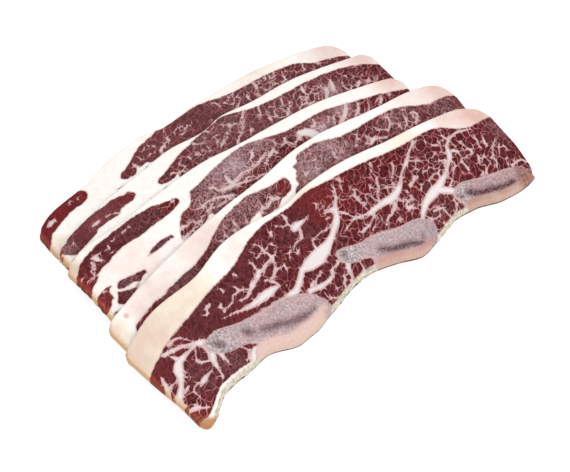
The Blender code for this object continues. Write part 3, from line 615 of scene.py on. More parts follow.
# Dark marrow that shows in the sawn ribs of the front slice, in the same pixels
MARROW = {
    "rib_a": (
        ((262, 329, 3), (268, 328, 4.6), (275, 326.2, 5.4), (282, 323.8, 5), (288, 323, 5),
         (294, 320.6, 5), (301, 317.6, 5), (305, 315.6, 5), (309.5, 312.8, 3)),
        ((312.8, 309.8, 1.6), (314, 308.8, 2)),
        ((245, 331.4, 4), (248.5, 332.6, 5.6), (253, 331.4, 2.4)),
        ((214.6, 342.8, 2.6), (219, 344.4, 5), (224, 344.6, 2.4)),
        ((325.5, 308, 1), (327, 309.6, 1.6), (329.8, 311, 1.6)),
        ((325, 316.6, 2), (328, 315.2, 2)),
        ((322.6, 319, 1.4), (320.6, 321.6, 1.6), (318.6, 324.6, 0.8)),
    ),
    "rib_b": (
        ((380, 249, 2.4), (384, 249, 4), (390, 248.8, 4), (396, 248.4, 5), (401, 247, 5.4),
         (405, 245.8, 5), (411, 243.8, 5), (417.5, 243.4, 4.6), (424, 242, 2.2)),
        ((343.4, 254.4, 2.6), (345, 254.8, 2)),
        ((423, 234, 0.6), (423.6, 238, 1.6)),
    ),
    "rib_c": (
        ((468, 191.8, 3), (471, 192.6, 5), (477, 193.4, 5.2), (484, 192.4, 5), (489, 190.4, 5),
         (494, 189, 5), (499.4, 188, 5), (505, 186.6, 5), (509.2, 184.8, 5.6), (512, 182.6, 6),
         (514.4, 181, 3)),
        ((460.6, 197.4, 2), (462, 196.2, 1)),
    ),
}

# Where the fat band shows another width than it has in the solid, for slices 1 and 2
SHOWN_WIDTHS = {
    0: (
        (-90, 2), (-62, 2.5), (-35, 11.5), (-20, 6), (-10, 1.2), (0, 0.6), (12, 0.8), (24, 2), (38, 6),
        (60, 7.3), (81, 7), (93, 12), (112, 11.7),
    ),
    1: (
        (-91, 2), (-64, 2), (-50, 4.5), (-26, 10.4), (-6, 5.8), (8, 1.1), (22, 1.0), (39, 4.6),
        (64, 6.8), (90, 5.5), (104, 7.5), (116, 13),
    ),
}

# Spots in pixels of the photograph: centre, radius in pixels, amount
# Above zero the lean is bright red, below zero it is grey: painted sheen of the wet lean
TINTS = (
    ((60, 212, 30, 1.0), (84, 195, 8, 0.8), (45, 235, 10, 0.9), (225, 100, 12, -0.2),
     (150, 152, 44, 0.45)),
    ((130, 197, 14, 0.9), (100, 217, 26, 0.7), (230, 125, 14, -0.2), (205, 138, 16, -0.3)),
    ((150, 214, 34, -0.2), (175, 202, 10, 0.8), (88, 285, 14, 1.2), (106, 304, 9, 0.8),
     (213, 165, 24, -1.2), (255, 142, 18, -1.3), (228, 158, 16, -1.2), (205, 200, 22, -0.9),
     (335, 108, 18, -0.6), (225, 180, 18, -0.6), (240, 190, 12, 0.4), (160, 245, 16, -0.3),
     (128, 282, 12, -0.5), (290, 130, 12, -0.7)),
    ((284, 187, 7, 1.5), (145, 320, 12, 0.9), (235, 215, 30, -0.85), (305, 163, 22, -1.4),
     (325, 145, 14, -1.2), (345, 145, 20, -0.6), (395, 115, 22, -0.7), (440, 105, 20, -0.7),
     (260, 200, 16, -0.8), (180, 280, 24, -0.5), (265, 202, 7, 0.8), (220, 240, 12, -0.3)),
    ((318, 196, 18, 1.0), (325, 215, 12, 0.9), (162, 372, 14, 0.5), (200, 375, 22, -0.2),
     (232, 357, 14, -0.4), (203, 415, 8, 1.6), (304, 228, 16, -0.2), (300, 290, 8, 0.7),
     (310, 252, 10, 0.5), (242, 315, 12, 0.5), (177, 344, 10, 0.7), (252, 344, 12, 0.5),
     (500, 128, 14, -0.5), (345, 185, 16, 0.2), (290, 205, 12, 0.3), (435, 205, 14, -0.2)),
)
# Above zero the marbling is close and fine, below zero there is little of it
MARBLING = (
    ((60, 212, 34, -0.9), (140, 160, 34, -0.4), (200, 112, 30, -0.5), (270, 80, 40, 0.6),
     (330, 58, 30, 0.4)),
    ((100, 220, 46, -0.7), (200, 150, 30, 0.5), (300, 98, 40, 0.7), (360, 78, 26, 0.7),
     (165, 178, 12, -0.4)),
    ((110, 250, 70, -0.8), (205, 185, 40, 0.7), (255, 150, 30, 0.5), (335, 110, 44, 0.8),
     (380, 95, 26, 0.3)),
    ((180, 280, 60, -0.4), (240, 212, 40, 0.4), (310, 163, 36, 0.9), (350, 143, 26, 0.8),
     (400, 115, 30, 0.4), (440, 105, 30, 0.2)),
    ((215, 315, 46, -0.9), (300, 215, 34, -0.9), (270, 265, 34, -0.2), (360, 205, 40, 0.4),
     (440, 165, 60, 0.38), (482, 154, 22, -0.3), (165, 372, 20, -0.9), (240, 345, 26, -0.6),
     (330, 280, 26, -0.6), (245, 262, 20, -0.4)),
)
# Above zero the fat is pink, below zero it is cream and then beige, partly painted shade where a cap
# slopes away, as at the left of the front slice's cap
FAT_TINTS = (
    ((330, 50, 26, 0.7), (60, 245, 12, -0.6), (250, 70, 30, -0.4)),
    ((362, 58, 24, 0.8), (70, 262, 12, -0.3)),
    ((390, 80, 22, 0.9), (74, 270, 12, -1.2), (110, 270, 40, 0.25), (150, 262, 26, 0.2)),
    ((440, 90, 30, 0.9), (400, 100, 16, 0.3), (205, 240, 26, 0.6), (165, 290, 26, 0.4),
     (118, 330, 14, -0.8), (138, 312, 20, 0.45), (126, 316, 1.9, 2.6), (147, 283, 5, 0.3)),
    ((474, 114, 24, 1.1), (442, 121, 16, 0.6), (240, 250, 20, 0.45), (212, 274, 14, 0.2),
     (142, 356, 34, -1.0), (178, 312, 40, -0.5), (208, 276, 36, -0.35), (154, 352, 10, 0.3),
     (300, 196, 16, -0.5), (400, 138, 30, -0.4), (345, 165, 26, -0.2), (226, 262, 9, 0.3)),
)
# Soft pale haze over the lean: painted sheen
SHEEN_HAZE = (
    ((250, 90, 110, 0.1), (155, 148, 42, 0.07)),
    ((331, 90, 9, 0.7), (250, 120, 120, 0.12), (100, 219, 24, 0.1), (67, 249, 10, 0.3)),
    ((236, 165, 9, 0.8), (222, 172, 16, 0.3), (256, 138, 10, 0.4), (322, 130, 12, 0.9),
     (343, 108, 9, 0.5), (232, 150, 10, 0.3)),
    ((312, 172, 14, 0.35), (325, 143, 9, 0.4), (342, 156, 8, 0.3)),
    (),
)
# Slits where the edge of a slice lifts off the one below, on slices 1 to 3: a shallow groove, painted dark
# as shade in the gap
SLITS = (
    (((118, 189.2, 1.2), (122, 187, 1.8), (126.5, 183.6, 1)), ((146, 168.6, 1.4), (147.4, 166.6, 1.6))),
    (((155.4, 197.6, 0.8), (158.3, 194, 1.4), (163, 190.7, 1.8), (167, 186.8, 2), (172.6, 183.8, 0.8)),
     ((149.4, 200.4, 1.2), (151.8, 197.6, 1.6)), ((72.5, 261, 1.2), (75, 258, 1.2), (78.4, 254.6, 1))),
    (((113, 315, 1), (116, 312.5, 1.6), (120, 309, 0.8)),),
    (),
    (),
)

# Kinds of sockets, and the size of the lobules, the grain and the pores in millimetres
FLOAT = "NodeSocketFloat"
VECTOR = "NodeSocketVector"
WIDE_LOBULE = 4.0
NARROW_LOBULE = 1.9
GRAIN_SIZE = 1.0
PORE_SIZE = 0.8
LEAN_ROUGHNESS = 0.42
FAT_ROUGHNESS = 0.46

# Colours as seen, from 0 to 255
COLOURS = {
    "plain lean": (72, 22, 27), "plain fibre": (102, 48, 51), "lobule border": (126, 58, 61),
    "lobule": (138, 56, 60), "lobule heart": (42, 2, 7), "lobule fibre": (150, 70, 73),
    "redder lobule": (122, 24, 30), "lean by fat": (102, 30, 34), "fibre by fat": (136, 68, 71),
    # The grey lean, the grey fibre and the pale fleck are painted sheen on the wet lean
    "red lean": (98, 22, 26), "bright red lean": (134, 40, 42), "grey sheen lean": (64, 28, 36),
    # The slit colour is painted shade in the gap under a lifted edge
    "grey sheen fibre": (142, 102, 107), "pale sheen fleck": (204, 174, 176), "slit": (58, 40, 36),
    "fine marbling": (192, 134, 136), "marbling by seam": (218, 184, 182),
    # The haze colour is painted sheen
    "seam": (230, 222, 220), "seam side": (202, 166, 167), "haze": (206, 180, 184),
    "white fat": (252, 247, 240), "whitest fat": (255, 253, 250), "pink fat": (222, 180, 170),
    # Cream and beige fat stand partly for painted shade where a cap slopes away
    "cream fat": (244, 232, 214), "beige fat and shade": (220, 194, 176), "fat mottle": (232, 206, 194),
    # The colour of the fat by the lean is painted shade, a pinkish line along the edge of the fat
    "fat speck": (208, 166, 156), "fat shaded by lean": (204, 166, 162), "rib fringe": (206, 176, 176),
    "membrane": (176, 162, 142), "pale membrane": (226, 216, 200),
    "dried lean": (158, 66, 54), "dried fat": (228, 196, 166), "dried corner": (182, 126, 84),
    "lean rim": (116, 48, 30), "fat rim": (208, 164, 124), "lean wall": (122, 54, 32),
    # The foot colour is a painted contact shadow along the bottom of the walls
    "fat wall": (212, 168, 124), "foot_shadow": (70, 48, 32),
    "bone pore": (132, 110, 114), "bone fleck": (228, 212, 210), "spongy bone": (226, 214, 213),
    "spongy hole": (112, 94, 102), "marrow halo": (134, 112, 116), "pale rind": (224, 196, 186),
    "rind edge": (214, 192, 170), "rind dot": (182, 142, 134),
}
# What is added to the colour of a sawn face where it is pinker
PINKER = (10, 0, -2)
# Sawn ribs: colours, how full the marrow is, the width of the rind in millimetres, and where the
# far end starts along the rib
BONE_LOOKS = {
    "rib_a": dict(name="sawn_bone_wide", face=(198, 175, 177), marrow=(92, 60, 70), fill=0.75,
                  rind_width=5.0, rind=(224, 190, 181),
                  end_start=0.8, end=((190, 164, 164), (150, 120, 124))),
    "rib_b": dict(name="sawn_bone_middle", face=(190, 170, 173), marrow=(76, 42, 52), fill=0.9,
                  rind_width=3.2, rind=(196, 148, 139),
                  end_start=0.6, end=((178, 160, 164), (150, 132, 138))),
    "rib_c": dict(name="sawn_bone_narrow", face=(186, 155, 157), marrow=(74, 30, 38), fill=1.1,
                  rind_width=3.2, rind=(180, 140, 128),
                  end_start=0.5, end=((178, 120, 110), (110, 84, 70))),
}


def smooth_curve(points):
    """A function of x through points, smooth and flatter where it turns."""
    xs, ys = np.array(points, float).T
    steps = np.diff(xs)
    rises = np.diff(ys) / steps
    slopes = np.concatenate([rises[:1], (rises[1:] + rises[:-1]) / 2, rises[-1:]])
    turning = rises[1:] * rises[:-1] <= 0
    slopes[1:-1][turning] *= TURN_SLOPE

    def curve(x):
        x = np.clip(np.asarray(x, float), xs[0], xs[-1])
        cell = np.clip(np.searchsorted(xs, x, side="right") - 1, 0, len(steps) - 1)
        h = steps[cell]
        t = (x - xs[cell]) / h
        ends = (1 + 2 * t) * (1 - t) ** 2 * ys[cell] + t**2 * (3 - 2 * t) * ys[cell + 1]
        return ends + h * (t * (1 - t) ** 2 * slopes[cell] - t**2 * (1 - t) * slopes[cell + 1])

    return curve


def rounding(near, radius):
    """How far a round corner draws an end in, at a distance from the edge that it meets."""
    reach = np.clip(1 - near / radius, 0, 1)
    return radius * (1 - np.sqrt(1 - reach**2))


def smooth_step(value, low, high):
    """Goes smoothly from 0 to 1 while a value goes from low to high."""
    t = np.clip((value - low) / (high - low), 0, 1)
    return t * t * (3 - 2 * t)


def ripple(x, y, waves, more_seed=0):
    """A smooth uneven surface, from the height and length of its waves and their seed."""
    height, length, seed = waves
    draw = np.random.default_rng(seed + more_seed)
    total = np.zeros_like(np.asarray(x, float) + np.asarray(y, float))
    for _ in range(WAVES_IN_RIPPLE):
        turn = draw.uniform(0, 2 * math.pi)
        number = 2 * math.pi / (length * draw.uniform(0.7, 1.5))
        phase = draw.uniform(0, 2 * math.pi)
        total += np.sin(number * (x * math.cos(turn) + y * math.sin(turn)) + phase)
    return height * total * math.sqrt(2 / WAVES_IN_RIPPLE) / 1.6


class Slice:
    """The outline of one slice in plan, and the heights that its underside lies at."""

    def __init__(self, index):
        self.index = index
        self.left = FAT_EDGES[index][0][0]
        self.right = FAT_EDGES[index][-1][0]
        self.fat_edge = smooth_curve(FAT_EDGES[index])
        self.fat_width = smooth_curve(FAT_WIDTHS[index])
        self.depth = smooth_curve(DEPTHS)
        self.stretch = (self.right - self.left) / DEPTHS[-1][0]
        self.heights = None

    def bone_edge(self, x):
        depth = self.depth((x - self.left) / self.stretch)
        return self.fat_edge(x) - DEPTH_FACTORS[self.index] * depth

    def fat_seam(self, x):
        """Where the band of fat along the back meets the lean."""
        return self.fat_edge(x) - self.fat_width(x)

    def ends(self, x, y):
        """The left and right ends of the slice at a height in plan, with round corners."""
        below = self.fat_edge(x) - y
        above = y - self.bone_edge(x)
        slant = below / (below + above)
        near = np.minimum(below, above)
        left = self.left + LEFT_SLANTS[self.index] * slant + rounding(near, LEFT_CORNER_RADIUS)
        right = self.right + RIGHT_SLANTS[self.index] * slant - rounding(near, RIGHT_CORNER_RADIUS)
        return left, right

    def covers(self, x, y, margin):
        """Whether places lie under the slice or within a margin of it."""
        inside = np.clip(x, self.left, self.right)
        along = np.abs(x - inside) <= margin
        across = (y <= self.fat_edge(inside) + margin) & (y >= self.bone_edge(inside) - margin)
        return along & across

    def underside(self, x, y):
        """The height of the underside, read between the cells of the table of heights."""
        rows, columns = self.heights.shape
        u = np.clip((x - TABLE_X[0]) / CELL, 0, rows - 1.001)
        v = np.clip((y - TABLE_Y[0]) / CELL, 0, columns - 1.001)
        i, j = u.astype(int), v.astype(int)
        u, v = u - i, v - j
        h = self.heights
        near = (1 - v) * h[i, j] + v * h[i, j + 1]
        far = (1 - v) * h[i + 1, j] + v * h[i + 1, j + 1]
        return (1 - u) * near + u * far


def drooped(support, axis):
    """The support, and a slice's bend down from it to both sides along one axis."""
    carried = support.copy()
    reach = int(math.sqrt(2 * BEND_RADIUS * float(support.max())) / CELL) + 1
    for shift in range(1, reach + 1):
        sag = (shift * CELL) ** 2 / (2 * BEND_RADIUS)
        beside = np.maximum(np.roll(support, shift, axis), np.roll(support, -shift, axis))
        carried = np.maximum(carried, beside - sag)
    return carried


def blurred(field):
    """A field of heights, each drawn towards those beside it."""
    for axis in (0, 1):
        field = (np.roll(field, 1, axis) + 2 * field + np.roll(field, -1, axis)) / 4
    return field


def lay(slices):
    """Lays each slice over those before it, down to the table where nothing holds it up."""
    x, y = np.meshgrid(np.arange(*TABLE_X, CELL), np.arange(*TABLE_Y, CELL), indexing="ij")
    stack = np.zeros_like(x)
    for upper in slices:
        heights = drooped(drooped(stack, 1), 0)
        for _ in range(DRAPE_SMOOTHINGS):
            heights = blurred(heights)
        sunk = float((stack - heights).max())
        heights += sunk * np.clip(heights / SLICE_THICKNESS, 0, 1)
        upper.heights = heights
        top = heights + SLICE_THICKNESS + STACKING_GAP
        stack = np.where(upper.covers(x, y, CELL), np.maximum(stack, top), stack)


def camera_axes():
    """Where the camera stands, and its forward, right and up directions, in the figures' frame."""
    back = np.array([
        math.sin(AZIMUTH) * math.cos(ELEVATION),
        -math.cos(AZIMUTH) * math.cos(ELEVATION),
        math.sin(ELEVATION),
    ])
    right = np.cross(-back, [0, 0, 1.0])
    right /= np.linalg.norm(right)
    up = np.cross(right, -back)
    return np.array(AIM) + DISTANCE * back, -back, right, up


def on_slice(cut, pixels):
    """Carries points of the photograph onto the top of a slice: their x and y there."""
    place, forward, right, up = camera_axes()
    pixels = np.asarray(pixels, float)
    across, down = ((pixels - PHOTO_CENTRE) / (PIXELS_PER_MM * DISTANCE)).T
    rays = forward + across[:, None] * right - down[:, None] * up
    height = np.full(len(pixels), AIM[2])
    for _ in range(SIGHT_STEPS):
        points = place + rays * ((height - place[2]) / rays[:, 2])[:, None]
        top = cut.underside(points[:, 0], points[:, 1]) + SLICE_THICKNESS
        height = (height + top) / 2
    return points[:, :2]


def smoothed(points, closed, parts=4):
    """Points along a smooth line through the given ones; further columns go along."""
    points = np.asarray(points, float)
    if closed:
        before, after = np.roll(points, 1, 0), np.roll(points, -2, 0)
        start, end = points, np.roll(points, -1, 0)
    else:
        padded = np.concatenate([2 * points[:1] - points[1:2], points, 2 * points[-1:] - points[-2:-1]])
        before, start, end, after = padded[:-3], padded[1:-2], padded[2:-1], padded[3:]
    rows = []
    for t in np.arange(parts) / parts:
        rows.append(0.5 * (
            2 * start + (end - before) * t
            + (2 * before - 5 * start + 4 * end - after) * t**2
            + (3 * start - before - 3 * end + after) * t**3
        ))
    line = np.stack(rows, 1).reshape(-1, points.shape[1])
    return line if closed else np.concatenate([line, points[-1:]])


def segment_distances(x, y, starts, ends):
    """For each point and segment: the distance, and how far along the segment the nearest place is."""
    run = ends - starts
    length = np.maximum((run**2).sum(1), 1e-9)
    dx = x[:, None] - starts[None, :, 0]
    dy = y[:, None] - starts[None, :, 1]
    share = np.clip((dx * run[:, 0] + dy * run[:, 1]) / length, 0, 1)
    return np.hypot(dx - share * run[:, 0], dy - share * run[:, 1]), share


def inside_outline(x, y, outline):
    """Signed distance to a closed outline, above zero inside."""
    starts, ends = outline, np.roll(outline, -1, 0)
    distance, _ = segment_distances(x, y, starts, ends)
    inside = np.zeros(len(x), bool)
    for (ax, ay), (bx, by) in zip(starts, ends):
        crosses = (ay > y) != (by > y)
        if ay != by:
            inside ^= crosses & (x < (bx - ax) * (y - ay) / (by - ay) + ax)
    return np.where(inside, 1, -1) * distance.min(1)


def off_seams(x, y, seams):
    """Distance from the side of the nearest seam, at most SEAM_REACH, and below zero in a seam."""
    field = np.full(len(x), SEAM_REACH)
    for seam in seams:
        widest = SEAM_REACH + seam[:, 2].max()
        low, high = seam[:, :2].min(0) - widest, seam[:, :2].max(0) + widest
        near = (x > low[0]) & (x < high[0]) & (y > low[1]) & (y < high[1])
        if not near.any():
            continue
        distance, share = segment_distances(x[near], y[near], seam[:-1, :2], seam[1:, :2])
        width = seam[:-1, 2] * (1 - share) + seam[1:, 2] * share
        field[near] = np.minimum(field[near], (distance - width / 2).min(1))
    return field


def placed_lines(cut, lines):
    """Lines of the photograph on the top of a slice, as x, y and width in millimetres."""
    placed = []
    for line in lines:
        line = np.asarray(line, float)
        points = np.column_stack([on_slice(cut, line[:, :2]), line[:, 2] * MM_PER_PIXEL])
        placed.append(smoothed(points, closed=False))
    return placed


def placed_outlines(cut, outlines):
    """Closed outlines of the photograph on the top of a slice."""
    return [smoothed(on_slice(cut, outline), closed=True) for outline in outlines]


def spots(cut, listed, x, y):
    """Adds up soft round spots on the top of a slice."""
    total = np.zeros_like(x)
    for px, py, radius, amount in listed:
        centre = on_slice(cut, [(px, py)])[0]
        away = np.hypot(x - centre[0], y - centre[1]) / (radius * MM_PER_PIXEL)
        total += amount * np.exp(-away**2)
    return total


class Pattern:
    """Where each slice is lean and where it is fat."""

    def __init__(self, slices):
        self.slices = slices
        self.front = slices[-1]
        self.seams = [placed_lines(cut, lines) for cut, lines in zip(slices, SEAMS)]
        self.slits = [placed_lines(cut, lines) for cut, lines in zip(slices, SLITS)]
        self.mains = [placed_outlines(cut, outlines) for cut, outlines in zip(slices, MAIN_LEAN)]
        self.islands = [placed_outlines(cut, outlines) for cut, outlines in zip(slices, ISLANDS)]
        self.rib_shapes = [rib_shape(self.front, rib) for rib in RIBS]

    def ribs(self, cut):
        """The rib sections of a slice, each with the outline that it has in the front slice."""
        return [Rib(cut, rib, shape) for rib, shape in zip(RIBS, self.rib_shapes)]

    def over_front(self, cut, x, y):
        """The place on the front slice that answers to a place on another one."""
        front = self.front
        front_x = front.left + (x - cut.left) / cut.stretch * front.stretch
        return front_x, front.fat_edge(front_x) - (cut.fat_edge(x) - y)

    def covered(self, cut, x, y):
        """From 0 where a slice shows to 1 where the next one hides it."""
        return smooth_step(self.slices[cut.index + 1].fat_edge(x) - y, *COVER_FADE)

    def front_depth(self, x, y):
        """How deep in the lean of the front slice a point is."""
        front = self.front
        membrane = smooth_curve(MEMBRANE)((x - front.left) / front.stretch)
        return np.minimum(front.fat_edge(x) - y - front.fat_width(x), y - front.bone_edge(x) - membrane)

    def depth(self, cut, x, y):
        """How deep in the lean a point is, in millimetres, below zero in the outer fat."""
        if cut is self.front:
            return np.clip(self.front_depth(x, y), -DEPTH_REACH, DEPTH_REACH)
        k = cut.index
        below = cut.fat_edge(x) - y
        shown = np.maximum.reduce([inside_outline(x, y, outline) for outline in self.mains[k]])
        shown = np.minimum(shown, below - smooth_curve(SHOWN_WIDTHS.get(k, FAT_WIDTHS[k]))(x))
        for island in self.islands[k]:
            shown = np.maximum(shown, inside_outline(x, y, island))
        covered = self.covered(cut, x, y)
        hidden = self.front_depth(*self.over_front(cut, x, y))
        shown, hidden = np.clip((shown, hidden), -DEPTH_REACH, DEPTH_REACH)
        return shown * (1 - covered) + hidden * covered

    def vein(self, cut, x, y):
        """How far a point is from the side of the nearest seam, below zero in the seam."""
        shown = off_seams(x, y, self.seams[cut.index])
        if cut is self.front:
            return shown
        covered = self.covered(cut, x, y)
        hidden = off_seams(*self.over_front(cut, x, y), self.seams[-1])
        return shown * (1 - covered) + hidden * covered

    def fields(self, cut, x, y):
        """All that the finishes need to know of places on a slice."""
        k = cut.index
        return {
            "lean_depth": self.depth(cut, x, y),
            "vein": self.vein(cut, x, y),
            "slit": off_seams(x, y, self.slits[k]),
            "tint": np.clip(spots(cut, TINTS[k], x, y), -1, 1),
            "marbled": np.clip(0.5 + spots(cut, MARBLING[k], x, y) / 2, 0, 1),
            "fat_tint": np.clip(spots(cut, FAT_TINTS[k], x, y), -1, 1),
            "haze": np.clip(spots(cut, SHEEN_HAZE[k], x, y), 0, 1),
        }


def graded(count, low, high):
    """Shares from 0 to 1 in count steps, closer together at the ends that are named."""
    share = np.linspace(0, 1, count + 1)
    if low and high:
        return share - GRADING * np.sin(2 * np.pi * share) / (2 * np.pi)
    side = -1 if low else 1
    return share + side * GRADING * np.sin(np.pi * share) / np.pi


class Slab:
    """The fine grid over one slice, from its fat edge to its bone edge."""

    def __init__(self, cut, pattern):
        along = graded(COLUMNS[cut.index], True, True)[:, None]
        fat_rows = graded(FAT_ROWS, True, False)
        lean_rows = graded(LEAN_ROWS[cut.index], False, True)[1:]
        share_fat = np.concatenate([fat_rows, np.ones(len(lean_rows))])
        share_lean = np.concatenate([np.zeros(len(fat_rows)), lean_rows])

        def rows(x):
            top, seam, low = cut.fat_edge(x), cut.fat_seam(x), cut.bone_edge(x)
            return top + share_fat * (seam - top) + share_lean * (low - seam)

        x = cut.left + along * (cut.right - cut.left)
        y = rows(x)
        left, right = cut.ends(x + 0 * y, y)
        self.x = left + along * (right - left)
        self.y = rows(self.x)
        away = from_sides(cut, self.x, self.y)
        self.edge = np.minimum.reduce(list(away.values()))
        fields = pattern.fields(cut, self.x.ravel(), self.y.ravel())
        fields = {key: values.reshape(self.x.shape) for key, values in fields.items()}
        fat = 1 - smooth_step(np.minimum(fields["lean_depth"], fields["vein"]), *FAT_SLOPE)
        self.low, self.top = heights(cut, self.x, self.y, away, fat)
        self.top -= SLIT_DEPTH * (1 - smooth_step(fields["slit"], *SLIT_SLOPE))
        self.ribs = pattern.ribs(cut)
        self.gaps = [rib.gap(self.x, self.y) for rib in self.ribs]
        fields["from_left"] = away["left"]
        fields["from_bone"] = away["bone"]
        fields["from_rib"] = np.clip(np.minimum.reduce(self.gaps), -1, SEAM_REACH)
        self.fields = fields

    def cap_cells(self):
        """The cells of the band of fat."""
        columns, rows = self.x.shape
        return np.tile(np.arange(rows - 1) < FAT_ROWS, (columns - 1, 1))

    def lean_cells(self):
        """The cells of the rest, with an opening for each rib."""
        cells = ~self.cap_cells()
        for gap in self.gaps:
            inside = gap < -BONE_LAP
            cells &= ~(inside[:-1, :-1] & inside[1:, :-1] & inside[:-1, 1:] & inside[1:, 1:])
        return cells


def from_sides(cut, x, y):
    """How far a place on a slice is from each of its sides."""
    left, right = cut.ends(x, y)
    return {
        "left": np.maximum(x - left, 0),
        "right": np.maximum(right - x, 0),
        "fat": np.maximum(cut.fat_edge(x) - y, 0),
        "bone": np.maximum(y - cut.bone_edge(x), 0),
    }


def heights(cut, x, y, away, fat):
    """The heights of the two faces, rounded off at the sides, with the fat a little proud."""
    under = cut.underside(x, y)
    swell = ripple(x, y, BROAD_SWELL, cut.index) + ripple(x, y, FINE_SWELL, cut.index)
    drop = 0
    for side, (reach, depth) in TOP_EDGES.items():
        drop = drop + (rounding(away[side], reach) / reach * depth) ** 3
    drop = np.minimum(drop ** (1 / 3), SLICE_THICKNESS - LEAST_SIDE)
    edge = np.minimum.reduce(list(away.values()))
    low = under + rounding(edge, LOW_ROUNDING) * LOW_ROUNDING_SHARE
    return low, under + SLICE_THICKNESS + swell + FAT_RISE * (fat - 0.5) - drop


def walls_between(kept):
    """The border of a set of grid cells, as pairs of points with the cells on their left."""
    padded = np.pad(kept, 1)
    inner = padded[1:-1, 1:-1]
    rows = []
    for (di, dj), (a, b) in {
        (-1, 0): ((0, 0), (0, 1)),
        (1, 0): ((1, 1), (1, 0)),
        (0, -1): ((1, 0), (0, 0)),
        (0, 1): ((0, 1), (1, 1)),
    }.items():
        beside = padded[1 + di:padded.shape[0] - 1 + di, 1 + dj:padded.shape[1] - 1 + dj]
        i, j = np.nonzero(inner & ~beside)
        rows.append(np.stack([i + a[0], j + a[1], i + b[0], j + b[1]], 1))
    return np.concatenate(rows)


def outward_at(x, y, starts, ends):
    """The outward direction in plan at each point, from the border's segments that meet there."""
    out = np.zeros((len(x), 2))
    normal = np.stack([y[ends] - y[starts], x[starts] - x[ends]], 1)
    np.add.at(out, starts, normal)
    np.add.at(out, ends, normal)
    return out / np.maximum(np.linalg.norm(out, axis=1, keepdims=True), 1e-9)


class Sides:
    """Two faces with the same plan, and the rings of points that join their rims.

    Where the rim is free the wall bulges, and is wavy where asked. For every point there is the
    place in the faces that it stands for, and how far down a free wall it lies.
    """

    def __init__(self, x, y, top, low, rim, out, free, wavy):
        count = len(x)
        points = [np.column_stack([x, y, top]), np.column_stack([x, y, low])]
        sources = [np.arange(count), np.arange(count)]
        down = [np.zeros(count), np.zeros(count)]
        down[1][rim] = free
        self.rings = [rim]
        for level in range(1, WALL_LEVELS):
            t = level / WALL_LEVELS
            reach = WALL_BULGE
            if wavy:
                reach = reach + ripple(x[rim] + WAVE_SHIFT * t, y[rim], WALL_WAVE)
            push = (reach * math.sin(math.pi * t) * free)[:, None] * out
            z = top[rim] * (1 - t) + low[rim] * t
            points.append(np.column_stack([x[rim] + push[:, 0], y[rim] + push[:, 1], z]))
            sources.append(rim)
            down.append(free * t)
            self.rings.append(2 * count + (level - 1) * len(rim) + np.arange(len(rim)))
        self.rings.append(rim + count)
        self.points = np.concatenate(points)
        self.sources = np.concatenate(sources)
        self.down = np.concatenate(down)

    def walls(self, first, second):
        """The faces of the wall, between places on the rim and those that follow them."""
        return [
            np.stack([upper[second], upper[first], lower[first], lower[second]], 1)
            for upper, lower in zip(self.rings, self.rings[1:])
        ]


def closed_shell(name, slab, kept, material):
    """A closed body from the kept cells of a slab: both faces, and a rounded wall round them."""
    height = slab.x.shape[1]
    i, j = np.nonzero(kept)
    faces = np.stack([(i + di) * height + j + dj for di, dj in ((0, 0), (0, 1), (1, 1), (1, 0))], 1)
    used, faces = np.unique(faces, return_inverse=True)
    faces = faces.reshape(-1, 4)
    x, y, top, low = (field.ravel()[used] for field in (slab.x, slab.y, slab.top, slab.low))
    border = walls_between(kept)
    starts = np.searchsorted(used, border[:, 0] * height + border[:, 1])
    ends = np.searchsorted(used, border[:, 2] * height + border[:, 3])
    rim = np.unique(starts)
    ring = np.full(len(used), -1)
    ring[rim] = np.arange(len(rim))
    free = slab.edge.ravel()[used][rim] < ON_EDGE
    sides = Sides(x, y, top, low, rim, outward_at(x, y, starts, ends)[rim], free, wavy=True)
    walls = sides.walls(ring[starts], ring[ends])
    piece = make_piece(name, sides.points, [faces, faces[:, ::-1] + len(used), *walls], material)
    for key, values in slab.fields.items():
        give(piece, key, values.ravel()[used[sides.sources]])
    give(piece, "side", sides.down)
    return piece


def make_piece(name, points, faces, material):
    """A smooth object from points in the figures' frame and blocks of faces, moved to its place."""
    mesh = bpy.data.meshes.new(name)
    mesh.vertices.add(len(points))
    mesh.vertices.foreach_set("co", ((points - ORIGIN) * MM).astype(np.float32).ravel())
    corners = np.concatenate([block.ravel() for block in faces]).astype(np.int32)
    mesh.loops.add(len(corners))
    mesh.loops.foreach_set("vertex_index", corners)
    counts = np.concatenate([np.full(len(block), block.shape[1]) for block in faces])
    mesh.polygons.add(len(counts))
    mesh.polygons.foreach_set("loop_start", (np.cumsum(counts) - counts).astype(np.int32))
    mesh.update(calc_edges=True)
    mesh.validate()
    mesh.shade_smooth()
    mesh.set_sharp_from_angle(angle=SHARP_ANGLE)
    mesh.materials.append(material)
    return linked(bpy.data.objects.new(name, mesh))


def linked(added):
    """An object, put in the scene."""
    bpy.context.scene.collection.objects.link(added)
    return added


def give(piece, name, values):
    """Gives each point of a piece a value that its material reads by name."""
    attribute = piece.data.attributes.new(name, "FLOAT", "POINT")
    attribute.data.foreach_set("value", np.ascontiguousarray(values, np.float32))


